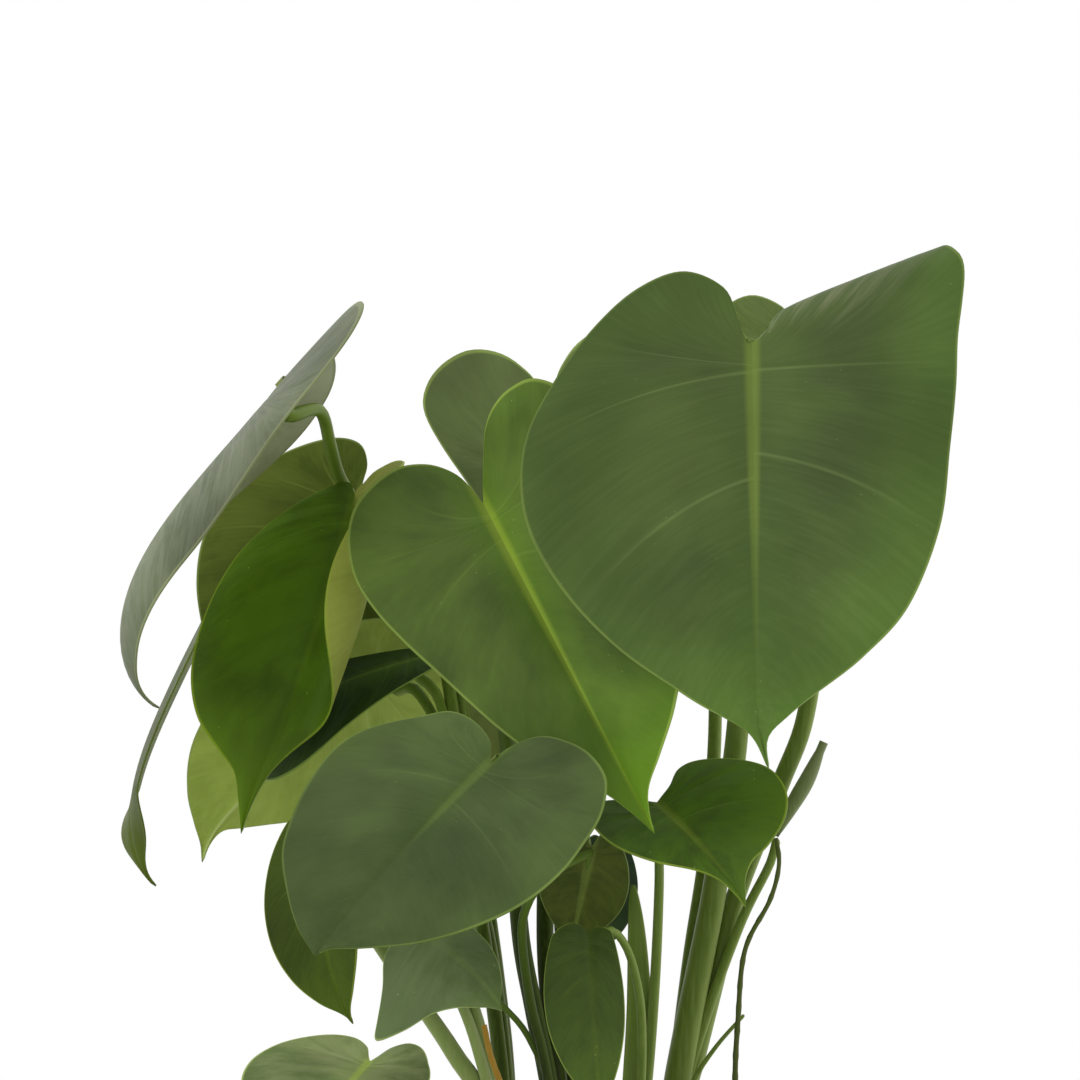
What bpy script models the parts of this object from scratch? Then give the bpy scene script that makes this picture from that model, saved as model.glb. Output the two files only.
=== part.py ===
"""A young swiss cheese plant, with whole heart-shaped leaves, in a plain terracotta pot.

Each leaf blade is a thin sheet grown along its own midrib, from the notch where its stalk
joins it, the sinus, to its tip. The leaf stalks rise from five crowns that stand in the soil.
"""
import math

import bmesh
import bpy
import numpy as np

MM = 0.001

# Where things stand. The pot's axis is the origin's, and the pot rests on z = 0.
EYE = (-12.8 * MM, -1500.0 * MM, 326.2 * MM)
SCALE = 0.32 * MM
PHOTO_CENTRE = 540

# The pot and its soil
POT_HEIGHT = 115 * MM
POT_RIM_RADIUS = 66 * MM
POT_BASE_RADIUS = 47 * MM
POT_WALL = 5 * MM
POT_FLOOR = 7 * MM
RIM_HEIGHT = 22 * MM
RIM_STEP = 3.5 * MM
RIM_ROUNDING = 1.5 * MM
RIM_THINNING = 1 * MM
POT_SEGMENTS = 48
DRAIN_COUNT = 4
DRAIN_RADIUS = 4.5 * MM
DRAIN_CIRCLE = 26 * MM
DRAIN_SIDES = 16
CUT_PAST = 2 * MM
SOIL_LEVEL = 103 * MM
SOIL_BUMP = 1.6 * MM
SOIL_RINGS = 7
SOIL_SEGMENTS = 40
SOIL_ROOM = 0.3 * MM
SOIL_EDGE_ROOM = 1 * MM
SOIL_FOOT_ROOM = 5 * MM
SOIL_RING_POWER = 0.8
HOLE_PAST = 9 * MM

# Blades
BLADE = 0.8 * MM
RIB = 0.8 * MM
RIB_RISE = 0.3
TAIL = 0.4 * MM
BLADE_COLUMNS = (0.0, 0.1, 0.4, 0.72, 1.0)
RIB_STATIONS = 60

# How a blade's rows lie: those of the lobes bunch up on the first of the midrib, and those of
# a narrow tail cross it square.
TIP_START = 0.8
SWEEP_POWER = 1.5
BLADE_START = 0.05
LOBE_ROOTS = 0.06
LOBE_ROWS = 0.35
ROOT_POWER = 2.2
TAIL_WIDTH = 0.3
TAIL_START = 0.5
TAIL_EASE = 0.2
ROW_ELBOW = 0.25
ROW_LEAD = 1.1
LEAST_CURL = 0.01

# Stalks
JOINT_GAP = 0.1 * MM
JOINT_AHEAD = 1.5 * MM
STALK_SIDES = 8
STALK_STEP = 20 * MM
STALK_SINK = 2 * MM
STALK_TAPER = 0.7
CURVE_STEPS = 8
DOME = ((0.5, 0.86), (0.85, 0.52), (0.98, 0.18))
CROWN_DEPTH = 12 * MM
CROWN_SHOULDER = 6 * MM
CROWN_TOP = 18 * MM
CROWN_SIDES = 20
CROWN_SHAPE = ((0.92, CROWN_SHOULDER), (0.7, CROWN_TOP * 0.7), (0.3, CROWN_TOP))
SHEATH_RINGS = 10
SHEATH_END = 1.02
SHEATH_FLAT = 1.6
SPINDLE_RINGS = 9
SPINDLE_FOOT = 0.3
SPINDLE_SPAN = (0.02, 0.9)
ROOT_SIDES = 6
ROOT_STEP = 12 * MM
ROOT_STRAIGHT = 4 * MM
ROOT_TAPER = (1.15, 0.75)


def seen(right, down, depth):
    """The place that the photograph shows at a pixel, a depth in millimetres behind the middle."""
    spread = SCALE * (depth * MM - EYE[1]) / -EYE[1]
    return np.array([EYE[0] + (right - PHOTO_CENTRE) * spread, depth * MM,
                     EYE[2] + (PHOTO_CENTRE - down) * spread])


# Outlines of half blades: shares of the half's width, and of the length from the sinus on.
HEART = ((0, 0), (0.05, -0.045), (0.13, -0.12), (0.30, -0.165), (0.52, -0.125), (0.74, -0.01),
         (0.91, 0.14), (1.0, 0.33), (0.94, 0.52), (0.72, 0.69), (0.40, 0.83), (0.15, 0.91),
         (0.045, 0.955), (0, 1))
BIG_LEFT = ((0, 0), (0.035, -0.012), (0.065, -0.06), (0.125, -0.13), (0.30, -0.165), (0.50, -0.12),
            (0.68, -0.03), (0.84, 0.09), (0.97, 0.23), (1.0, 0.36), (0.95, 0.48), (0.80, 0.61),
            (0.58, 0.73), (0.32, 0.825), (0.10, 0.89), (0.03, 0.93), (0, 1))
BIG_RIGHT = ((0, 0), (0.035, -0.01), (0.08, -0.035), (0.11, -0.07), (0.155, -0.105), (0.21, -0.145),
             (0.30, -0.2), (0.46, -0.26), (0.64, -0.295), (0.80, -0.29), (0.91, -0.235),
             (0.965, -0.205), (1.0, -0.18), (1.01, -0.14), (0.995, -0.07), (0.97, 0.02),
             (0.955, 0.14), (0.92, 0.28), (0.865, 0.46), (0.71, 0.64), (0.50, 0.75), (0.31, 0.82),
             (0.14, 0.885), (0.03, 0.93), (0, 1))
CENTRE_LEFT = ((0, 0), (0.05, -0.087), (0.136, -0.14), (0.25, -0.175), (0.42, -0.195),
               (0.62, -0.18), (0.80, -0.14), (0.93, -0.066), (1.0, 0.04), (0.975, 0.15),
               (0.90, 0.26), (0.80, 0.37), (0.60, 0.58), (0.40, 0.73), (0.19, 0.84),
               (0.08, 0.92), (0, 1))
CENTRE_RIGHT = ((0, 0), (0.15, -0.10), (0.27, -0.17), (0.41, -0.205), (0.58, -0.21),
                (0.77, -0.18), (0.93, -0.08), (1.0, 0.1), (0.98, 0.3), (0.90, 0.5), (0.74, 0.66),
                (0.55, 0.75), (0.30, 0.83), (0.11, 0.89), (0.03, 0.95), (0, 1))
FRONT_LEFT = ((0, 0), (0.12, -0.07), (0.33, -0.10), (0.52, -0.08), (0.66, 0), (0.85, 0.115),
              (0.96, 0.21), (1.0, 0.33), (0.95, 0.49), (0.83, 0.66), (0.70, 0.77), (0.44, 0.885),
              (0.25, 0.95), (0.09, 0.985), (0, 1))
FRONT_RIGHT = ((0, 0), (0.03, -0.10), (0.15, -0.2), (0.33, -0.24), (0.52, -0.25), (0.72, -0.22),
               (0.84, -0.165), (0.95, -0.06), (1.0, 0.06), (1.03, 0.18), (1.02, 0.30),
               (0.97, 0.42), (0.88, 0.53), (0.74, 0.65), (0.54, 0.77), (0.24, 0.89),
               (0.06, 0.95), (0, 1))
LONG_LOBED = ((0, 0), (0.06, -0.30), (0.2, -0.44), (0.38, -0.52), (0.6, -0.54), (0.82, -0.48),
              (0.96, -0.38), (1.0, -0.26), (0.90, -0.08), (0.69, 0.18), (0.45, 0.5),
              (0.2, 0.78), (0, 1))
CURLED_LEFT = ((0, 0), (0.06, -0.025), (0.2, -0.005), (0.45, 0.06), (0.7, 0.155), (0.88, 0.26), (0.98, 0.39),
               (0.99, 0.53), (0.91, 0.65), (0.72, 0.75), (0.45, 0.81), (0.22, 0.85),
               (0.09, 0.92), (0, 1))
PALE_LOWER = ((0, 0), (0.03, -0.09), (0.08, -0.16), (0.26, -0.2), (0.52, -0.14),
              (0.74, -0.01), (0.91, 0.13), (1.0, 0.29), (0.98, 0.42), (0.90, 0.54), (0.72, 0.65),
              (0.48, 0.735), (0.24, 0.81), (0.09, 0.855), (0.03, 0.91), (0, 1))
PALE_UPPER = ((0, 0), (0.03, -0.09), (0.08, -0.16), (0.26, -0.2), (0.52, -0.14),
              (0.72, 0.0), (0.86, 0.14), (0.92, 0.29), (0.91, 0.42), (0.86, 0.54), (0.76, 0.655),
              (0.63, 0.74), (0.44, 0.82), (0.22, 0.88), (0.07, 0.935), (0, 1))
CURLED_RIGHT = ((0, 0), (0.05, -0.045), (0.13, -0.12), (0.30, -0.165), (0.52, -0.125),
                (0.74, -0.01), (0.91, 0.11), (1.0, 0.27), (0.94, 0.41), (0.74, 0.53), (0.45, 0.63),
                (0.22, 0.71), (0.09, 0.79), (0.04, 0.87), (0, 1))
FINGERED = ((0, 0), (0.03, -0.1), (0.1, -0.21), (0.25, -0.275), (0.5, -0.29), (0.75, -0.25),
            (0.92, -0.16), (1.0, 0.0), (1.0, 0.2), (0.98, 0.38), (0.90, 0.53), (0.69, 0.69),
            (0.40, 0.83), (0.15, 0.91), (0.045, 0.955), (0, 1))
SLOW_WIDE = ((0, 0), (0.05, -0.045), (0.12, -0.09), (0.22, -0.09), (0.35, 0.03), (0.52, 0.2),
             (0.76, 0.42), (0.95, 0.6), (1.0, 0.74), (0.88, 0.87), (0.5, 0.96), (0, 1))
SMALL_LEFT = ((0, 0), (0.35, -0.13), (0.66, -0.19), (0.9, -0.12), (1.0, 0.04), (0.96, 0.245),
              (0.71, 0.454), (0.3, 0.64), (0.12, 0.76), (0.05, 0.88), (0, 1))
SMALL_RIGHT = ((0, 0), (0.19, -0.03), (0.37, -0.095), (0.56, -0.06), (0.81, 0.10), (0.98, 0.28),
               (1.0, 0.434), (0.92, 0.57), (0.74, 0.68), (0.49, 0.75), (0.28, 0.78),
               (0.12, 0.86), (0, 1))
CORNERED = ((0, 0), (0.12, -0.06), (0.34, -0.10), (0.60, 0.06), (0.87, 0.23), (1.0, 0.34),
            (0.96, 0.43), (0.76, 0.55), (0.52, 0.62), (0.34, 0.72), (0.19, 0.84), (0.08, 0.92),
            (0, 1))

# What a leaf has unless its own entry says otherwise. Widths are in millimetres, angles in
# degrees, and pairs are the left and right half, seen on the upper side with the tip down.
# Droop bends the midrib away from the upper side, sweep bends it within the blade, fold and
# curl raise the halves, and a roll turns the sheet about a line: its half, a point on the
# line, the direction that it rolls towards, its turn, and the width of its bend.
PLAIN_LEAF = dict(half=(40, 40), outline=(HEART, HEART), lobe=(1, 1), droop=20, droop_power=1.3,
                  sweep=0, twist=0, twist_span=(0, 1), tip_curl=0, tip_sweep=0, fold=(8, 8),
                  curl=(0, 0), wave=0, waves=3, rolls=(), approach=(5, 3, 0), rows=11)

LEAVES = dict(
    leaf_big_right=dict(
        sinus=seen(752, 342, -42), tip=seen(769, 770, -72), face=(-0.05, -1, 0.15),
        half=(72, 66), outline=(BIG_LEFT, BIG_RIGHT), droop=16, fold=(12, 10), curl=(-14, -8),
        rolls=((1, 8, -3.8, -110.5, -100, 13),), tip_sweep=14, wave=1.0, waves=2.5, rows=19),
    leaf_behind_big=dict(
        sinus=seen(808, 334, 14), tip=seen(880, 600, 32), face=(0.2, 0.6, 0.8), half=(36, 56),
        lobe=(0.5, 1.05)),
    leaf_centre=dict(
        sinus=seen(483, 503, -18), tip=seen(655, 834, -56), face=(-0.18, -1, 0.35),
        half=(47, 48), outline=(CENTRE_LEFT, CENTRE_RIGHT), droop=18, fold=(10, 22),
        curl=(-10, 12), rows=18),
    leaf_low_front=dict(
        sinus=seen(490, 762, -62), tip=seen(315, 956, -92), face=(-0.1, -1, 0.75),
        half=(42, 42), outline=(FRONT_LEFT, FRONT_RIGHT), droop=16, fold=(6, 6),
        curl=(-14, -14), rows=18),
    leaf_back_centre=dict(
        sinus=seen(556, 448, 22), tip=seen(585, 650, 10), face=(-0.1, -1, 0.3), half=(41, 38),
        outline=(LONG_LOBED, LONG_LOBED), droop=12),
    leaf_far_left=dict(
        sinus=seen(277, 388, -16), tip=seen(159, 708, -24), face=(-0.92, 0, 0.38),
        outline=(FINGERED, FINGERED), lobe=(0.62, 1.02), droop=102, droop_power=3.6, fold=(-12, -8),
        curl=(-12, -16), twist=8, twist_span=(0, 0.5), rows=18),
    leaf_left_back=dict(
        sinus=seen(360, 494, 62), tip=seen(212, 688, 64), face=(-0.2, 1, 0.3), half=(40, 36),
        droop=10, fold=(3, 3), curl=(-10, -10)),
    leaf_left_curled=dict(
        sinus=seen(354, 492, 36), tip=seen(241, 834, 16), face=(0, -1, 0.1), half=(37, 45),
        outline=(CURLED_LEFT, CURLED_RIGHT), lobe=(1, 0.6), droop=14, sweep=-14, tip_sweep=14,
        fold=(-4, 5), curl=(-12, 166), rows=18),
    leaf_left_edge_on=dict(
        sinus=seen(236, 552, 94), tip=seen(156, 886, 88), face=(-1, -0.05, 0.3), half=(30, 25),
        droop=76, droop_power=4.5, fold=(-5, -5), twist=30, twist_span=(0.7, 0.9),
        approach=(2, 0, 3), rows=14),
    leaf_small_right=dict(
        sinus=seen(657, 802, -34), tip=seen(746, 907, -62), face=(0.1, -0.8, 0.8),
        half=(24, 33), outline=(SMALL_LEFT, SMALL_RIGHT), droop=24, fold=(2, 24),
        curl=(0, -10), tip_curl=10, approach=(2, 0, 3)),
    leaf_low_pale=dict(
        sinus=seen(395, 681, 62), tip=seen(202, 862, 68), face=(-0.2, 0.9, 0.6), half=(33, 37.5),
        outline=(PALE_LOWER, PALE_UPPER), sweep=-16, tip_sweep=-22, approach=(3.5, -2, 0), rows=13),
    leaf_middle_dark=dict(
        sinus=seen(418, 657, 34), tip=seen(238, 750, 43), face=(-0.1, -0.7, 0.7),
        half=(16, 25), outline=(SLOW_WIDE, SLOW_WIDE), droop=42, fold=(-10, 0),
        approach=(5, 0, 0)),
    leaf_left_hanging=dict(
        sinus=seen(318, 840, -18), tip=seen(353, 1024, -30), face=(-0.5, -0.85, 0.2),
        half=(19, 15), sweep=22),
    leaf_low_grey=dict(
        sinus=seen(418, 930, -19), tip=seen(502, 1011, -26), face=(-0.1, -0.9, 0.4),
        half=(37, 12), outline=(CORNERED, HEART), fold=(5, -20), sweep=-24),
    leaf_bottom_left=dict(
        sinus=seen(370, 1061, -42), tip=seen(296, 1168, -78), face=(-0.15, -0.55, 0.9),
        half=(33, 28), lobe=(1, 1.3), approach=(2, 0, 3)),
    leaf_front_narrow=dict(
        sinus=seen(588, 934, -50), tip=seen(602, 1120, -60), face=(-0.1, -1, 0.1),
        half=(15, 10), lobe=(0.4, 0.2), droop=10, approach=(2, 0, 3)),
    leaf_young_brown=dict(
        sinus=seen(592, 846, -26), tip=seen(570, 950, -20), face=(0.3, 0.9, 0.3),
        half=(14, 16), droop=10, approach=(2, 0, 3), rows=10),
    leaf_young_dark=dict(
        sinus=seen(605, 852, -6), tip=seen(600, 957, -2), face=(0.3, -0.9, 0.3),
        half=(12, 11), droop=10, rows=10),
    leaf_rear_high=dict(
        sinus=seen(698, 536, 66), tip=seen(754, 726, 98), face=(0.1, 1, 0.4), half=(33, 34)),
    leaf_rear_low=dict(
        sinus=seen(560, 620, 62), tip=seen(545, 850, 98), face=(0.05, 1, 0.4), half=(31, 31)),
)

# The crowns, each with its place and radius in the soil in millimetres, and the stalks that
# rise from it: the leaf that each carries, its radii at the foot and at the top in
# millimetres, and the places that it passes on its way down.
CROWNS = dict(
    stems_left=dict(foot=(-24, -16), radius=8.5, stalks=(
        ("leaf_left_hanging", 4.2, 1.8, (
            seen(350, 900, -8), seen(390, 960, -8), seen(425, 1010, -8), seen(455, 1055, -9),
            seen(485, 1110, -12))),
        ("leaf_low_grey", 2.6, 1.5, (
            seen(440, 962, -11), seen(462, 1005, -12), seen(478, 1050, -13),
            seen(494, 1120, -15))),
        ("leaf_low_front", 2.8, 1.8, (
            seen(478, 838, -40), seen(468, 878, -23), seen(465, 905, -10), seen(468, 985, -8),
            seen(482, 1040, -9), seen(494, 1110, -12))),
        ("leaf_bottom_left", 2.4, 1.5, (
            seen(400, 1085, -30), seen(440, 1140, -22), seen(476, 1185, -17))),
    )),
    stems_back_left=dict(foot=(-22, 10), radius=8.5, stalks=(
        ("leaf_far_left", 2.6, 2.0, (
            seen(319, 410, 5), seen(330, 444, 20), seen(337, 470, 33), seen(350, 495, 47),
            seen(385, 545, 50),
            seen(425, 600, 48), seen(452, 660, 45), seen(465, 760, 36), seen(475, 870, 26),
            seen(492, 960, 17), seen(506, 1080, 11))),
        ("leaf_left_curled", 2.8, 1.9, (
            seen(368, 520, 44), seen(402, 575, 46), seen(438, 640, 46), seen(457, 740, 33),
            seen(470, 850, 20), seen(487, 960, 13), seen(502, 1080, 9))),
        ("leaf_left_back", 2.6, 1.9, (
            seen(378, 530, 55), seen(404, 570, 56), seen(444, 640, 53), seen(472, 760, 42),
            seen(485, 880, 29), seen(498, 980, 19), seen(508, 1080, 13))),
        ("leaf_left_edge_on", 2.4, 1.6, (
            seen(262, 580, 88), seen(320, 640, 95), seen(390, 720, 99), seen(440, 820, 76),
            seen(475, 920, 46), seen(495, 1010, 25), seen(508, 1100, 15))),
        ("leaf_low_pale", 2.4, 1.7, (
            seen(411, 687, 55), seen(425, 702, 51), seen(441, 735, 47), seen(458, 800, 39),
            seen(480, 900, 27), seen(497, 1000, 18), seen(508, 1090, 12))),
        ("leaf_middle_dark", 2.4, 1.6, (
            seen(440, 702, 37), seen(456, 790, 30), seen(474, 900, 18), seen(494, 1010, 11))),
    )),
    stems_middle=dict(foot=(-3, -2), radius=8.5, stalks=(
        ("leaf_centre", 3.4, 2.4, (
            seen(492, 600, 6), seen(503, 700, 10), seen(512, 800, 8), seen(520, 930, 2),
            seen(534, 1010, 0), seen(550, 1090, -2))),
        ("leaf_back_centre", 3.4, 2.2, (
            seen(562, 560, 36), seen(556, 680, 34), seen(548, 800, 24), seen(545, 930, 10),
            seen(550, 1010, 4), seen(560, 1100, 0))),
        ("leaf_young_brown", 2.0, 1.3, (
            seen(570, 862, -34), seen(545, 880, -40), seen(528, 903, -38), seen(522, 935, -30),
            seen(530, 1000, -16), seen(548, 1080, -8))),
        ("leaf_young_dark", 2.0, 1.2, (
            seen(592, 920, -2), seen(582, 1000, -2), seen(575, 1090, -2))),
        ("leaf_rear_low", 2.6, 1.8, (
            seen(560, 740, 44), seen(556, 850, 30), seen(562, 950, 14), seen(567, 1080, 4))),
    )),
    stems_front=dict(foot=(15, -17), radius=7.5, stalks=(
        ("leaf_front_narrow", 2.0, 1.2, (
            seen(608, 930, -42), seen(620, 937, -38), seen(632, 962, -33), seen(641, 1010, -27),
            seen(641, 1080, -21), seen(634, 1160, -18))),
        ("leaf_small_right", 2.2, 1.4, (
            seen(659, 850, -23), seen(659, 890, -21), seen(655, 980, -18), seen(647, 1080, -16),
            seen(636, 1160, -17))),
    )),
    stems_right=dict(foot=(27, 8), radius=9.5, stalks=(
        ("leaf_big_right", 5.2, 2.8, (
            seen(752, 420, -20), seen(748, 560, -8), seen(737, 735, 0), seen(716, 880, 4),
            seen(703, 950, 6), seen(685, 1040, 7), seen(674, 1110, 8))),
        ("leaf_behind_big", 4.0, 2.4, (
            seen(815, 480, 2), seen(817, 620, 4), seen(805, 718, 6), seen(780, 785, 8),
            seen(738, 890, 10), seen(722, 950, 11), seen(694, 1060, 10), seen(678, 1120, 9))),
        ("leaf_rear_high", 3.0, 2.0, (
            seen(712, 630, 44), seen(715, 730, 32), seen(706, 850, 22), seen(690, 960, 15),
            seen(676, 1080, 11))),
    )),
)

# Thin pieces among the stalks. A spur ends in the air and is fused to its crown.
SPURS = dict(
    stems_middle=((0.9, 1.6, (
        seen(473, 981, -20), seen(505, 1008, -14), seen(530, 1040, -9), seen(552, 1100, -5))),),
    stems_right=((0.6, 1.6, (
        seen(743, 1016, -2), seen(715, 1048, 0), seen(692, 1085, 3), seen(676, 1140, 6))),),
)
YOUNG_STALK = (1.4, 2.6, (
    seen(776, 842, 0), seen(769, 866, 0), seen(742, 920, 4), seen(708, 1010, 7),
    seen(686, 1090, 8)))
SHEATH = (4.6, 0.9, (
    seen(633, 885, -14), seen(637, 940, -14), seen(639, 1010, -15), seen(636, 1090, -16)))
ROLLED_LEAF = (2.6, (seen(776, 836, 0), seen(792, 806, 0), seen(808, 778, 0),
                     seen(824, 742, 0)))
AERIAL_ROOT = (0.9, (
    seen(776, 838, -9), seen(779, 865, -9), seen(770, 900, -10), seen(745, 950, -9),
    seen(738, 1020, -7), seen(735, 1090, -6)), (50, -6))
DRY_STALK = (1.2, (seen(484, 1025, -19), seen(492, 1060, -20), seen(514, 1120, -21)),
             (-10, -22))

# Plain colours, and for the thin pieces a name, a colour and a roughness
TERRACOTTA = (0.52, 0.23, 0.13)
SOIL_BROWN = (0.035, 0.022, 0.014)
STALK_GREEN = (0.14, 0.24, 0.05)
LEAF_GREEN = (0.07, 0.16, 0.03)
SMALL_LOOKS = (("young_green", (0.1, 0.2, 0.03), 0.5), ("root_brown", (0.12, 0.13, 0.04), 0.7),
               ("dry_orange", (0.35, 0.18, 0.04), 0.7))


# Curves and numbers

def unit(vector):
    vector = np.asarray(vector, float)
    return vector / np.linalg.norm(vector)


def ease(x):
    x = np.clip(x, 0, 1)
    return x * x * (3 - 2 * x)


def through(points, steps):
    """A smooth curve through points, with so many steps between each two."""
    p = np.asarray(points, float)
    p = np.vstack([2 * p[0] - p[1], p, 2 * p[-1] - p[-2]])
    curve = []
    for a, b, c, d in zip(p, p[1:], p[2:], p[3:]):
        for k in range(steps):
            u = k / steps
            curve.append(0.5 * (2 * b + (c - a) * u + (2 * a - 5 * b + 4 * c - d) * u * u
                                + (3 * b - a - 3 * c + d) * u ** 3))
    curve.append(p[-2])
    return np.array(curve)


def evenly(points, count):
    """The same curve with so many points at even distances."""
    steps = np.linalg.norm(np.diff(points, axis=0), axis=1)
    along = np.concatenate([[0], np.cumsum(steps)])
    wanted = np.linspace(0, along[-1], count)
    return np.column_stack([np.interp(wanted, along, column) for column in points.T])


def turned(a, b, degrees):
    """Two axes square to each other, the first turned towards the second."""
    angle = math.radians(degrees)
    return (a * math.cos(angle) + b * math.sin(angle), b * math.cos(angle) - a * math.sin(angle))


# Blades

def midrib(leaf):
    """Points, headings and upward axes along the midrib, and its length."""
    def bends(s):
        end = ease((s - TIP_START) / (1 - TIP_START))
        start, stop = leaf["twist_span"]
        return np.array([leaf["droop"] * s ** leaf["droop_power"] + leaf["tip_curl"] * end,
                         leaf["sweep"] * s ** SWEEP_POWER + leaf["tip_sweep"] * end,
                         leaf["twist"] * ease((s - start) / (stop - start))])

    heading, up = np.array([1.0, 0, 0]), np.array([0, 0, 1.0])
    place = np.zeros(3)
    places, headings, ups = [place], [heading], [up]
    for i in range(RIB_STATIONS):
        droop, sweep, twist = bends((i + 1) / RIB_STATIONS) - bends(i / RIB_STATIONS)
        heading, up = turned(heading, up, -droop)
        side = np.cross(up, heading)
        heading, side = turned(heading, side, sweep)
        up, side = turned(up, side, twist)
        place = place + heading / RIB_STATIONS
        places.append(place)
        headings.append(heading)
        ups.append(up)
    chord, up = unit(places[-1]), ups[0]
    own = frame_of(chord, up)
    reach = leaf["tip"] - leaf["sinus"]
    turn = own.T @ frame_of(unit(reach), np.array(leaf["face"], float))
    length = np.linalg.norm(reach) / np.linalg.norm(places[-1])
    return (leaf["sinus"] + np.array(places) @ turn * length, np.array(headings) @ turn,
            np.array(ups) @ turn, length)


def frame_of(along, up):
    """Three square axes: one along, and one as near to up as it can be."""
    up = unit(up - (up @ along) * along)
    return np.array([along, np.cross(up, along), up])


def margin(leaf, side, rows, length):
    """Distances out from the midrib, and shares along it, of a half blade's edge."""
    width = leaf["half"][side] * MM
    shape = [(out * width, (along * leaf["lobe"][side] if along < 0 else along) * length)
             for out, along in through(leaf["outline"][side], 20)]
    edge = evenly(np.array(shape), rows + 1)
    out, along = np.maximum(edge[:, 0], TAIL), edge[:, 1] / length
    out[0] = out[-1] = along[0] = 0
    along[-1] = 1
    return out, along


def flat_half(leaf, side, rows, columns, length):
    """A half blade laid flat: rows run out like side veins, from the midrib to the margin."""
    margins = [margin(leaf, each, rows, length) for each in (0, 1)]
    out, along = margins[side]
    row = np.linspace(0, 1, rows + 1)
    mean = (margins[0][1] + margins[1][1]) / 2
    blade_share = np.clip((mean - BLADE_START) / (1 - BLADE_START), 0, 1)
    root = LOBE_ROOTS * ease(row / LOBE_ROWS) + (1 - LOBE_ROOTS) * blade_share ** ROOT_POWER
    width = (margins[0][0] + margins[1][0]) / (sum(leaf["half"]) * MM)
    tail = (1 - ease(width / TAIL_WIDTH)) * ease((mean - TAIL_START) / TAIL_EASE)
    root = np.maximum.accumulate(root * (1 - tail) + mean * tail)
    root[-1] = 1
    v = np.asarray(columns)[None, :]
    out, along, root = out[:, None], along[:, None], root[:, None]
    elbow = root + ROW_ELBOW * np.maximum(along - root, 0)
    across = ROW_LEAD * v * (1 - v) * out + v * v * out
    down = (1 - v) ** 2 * root + 2 * v * (1 - v) * elbow + v * v * along
    return across, down * length, row[:, None], v


def roll(leaf, side, across, down):
    """The flat places after the sheet is rolled, and how far it is raised."""
    sign = (-1, 1)[side]
    right, lift = sign * across, np.zeros_like(across)
    moved_right, moved_down = right.copy(), down.copy()
    for half, start_right, start_down, towards, angle, width in leaf["rolls"]:
        if half != side:
            continue
        axis = (math.cos(math.radians(towards)), math.sin(math.radians(towards)))
        past = (right - start_right * MM) * axis[0] + (down - start_down * MM) * axis[1]
        past = np.maximum(past, 0)
        bend = math.radians(angle) / (width * MM)
        inside = np.minimum(past, width * MM)
        beyond = past - inside
        shift = np.sin(bend * inside) / bend + beyond * math.cos(math.radians(angle)) - past
        moved_right += shift * axis[0]
        moved_down += shift * axis[1]
        lift += (1 - np.cos(bend * inside)) / bend + beyond * math.sin(math.radians(angle))
    return sign * moved_right, moved_down, lift


def half_blade(leaf, side, rows, columns):
    """Places of a half blade's middle sheet, a grid of rows by columns."""
    places, headings, ups, length = midrib(leaf)
    across, down, row, v = flat_half(leaf, side, rows, columns, length)
    across, down, lift = roll(leaf, side, across, down)
    share = down / length
    index = np.clip((share * RIB_STATIONS).astype(int), 0, RIB_STATIONS - 1)
    part = np.clip(share * RIB_STATIONS - index, 0, 1)[..., None]
    sides = np.cross(ups, headings)
    place, heading, up, out = [axis[index] * (1 - part) + axis[index + 1] * part
                               for axis in (places, headings, ups, sides)]
    place = place + heading * np.minimum(down, 0)[..., None]
    fold = math.radians(leaf["fold"][side])
    bow = math.radians(leaf["curl"][side] or LEAST_CURL) / (leaf["half"][side] * MM)
    angle = fold + bow * across
    reach = (np.sin(angle) - math.sin(fold)) / bow
    rise = (math.cos(fold) - np.cos(angle)) / bow
    ripple = leaf["wave"] * MM * np.sin(2 * np.pi * leaf["waves"] * row) * v ** 2
    lift = lift + ripple * np.sqrt(np.sin(np.pi * np.clip(row, 0, 1)))
    reach = reach - lift * np.sin(angle)
    rise = rise + lift * np.cos(angle)
    return place + (-1, 1)[side] * out * reach[..., None] + up * rise[..., None]


def blade_sheet(leaf):
    """The middle sheet as points, triangles, midrib shares and the points round its edge."""
    rows, columns = leaf["rows"], BLADE_COLUMNS
    last = len(columns) - 1
    halves = [half_blade(leaf, side, rows, columns) for side in (0, 1)]
    points, shares, index = [], [], {}

    def point(side, i, j):
        key = (0, i, 0) if j == 0 or i in (0, rows) else (side, i, j)
        if key not in index:
            index[key] = len(points)
            points.append(halves[side][i, j])
            shares.append(i / rows if key[2] == 0 else -1.0)
        return index[key]

    triangles = []
    for side in (0, 1):
        for i in range(rows):
            for j in range(last):
                corners = [point(side, i, j), point(side, i + 1, j),
                           point(side, i + 1, j + 1), point(side, i, j + 1)]
                if side == 0:
                    corners = corners[::-1]
                ring = [c for k, c in enumerate(corners) if c != corners[k - 1]]
                triangles += [(ring[0], ring[k], ring[k + 1]) for k in range(1, len(ring) - 1)]
    rim = [point(0, i, last) for i in range(rows + 1)]
    rim += [point(1, i, last) for i in range(rows - 1, 0, -1)]
    return np.array(points), triangles, np.array(shares), rim


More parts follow.
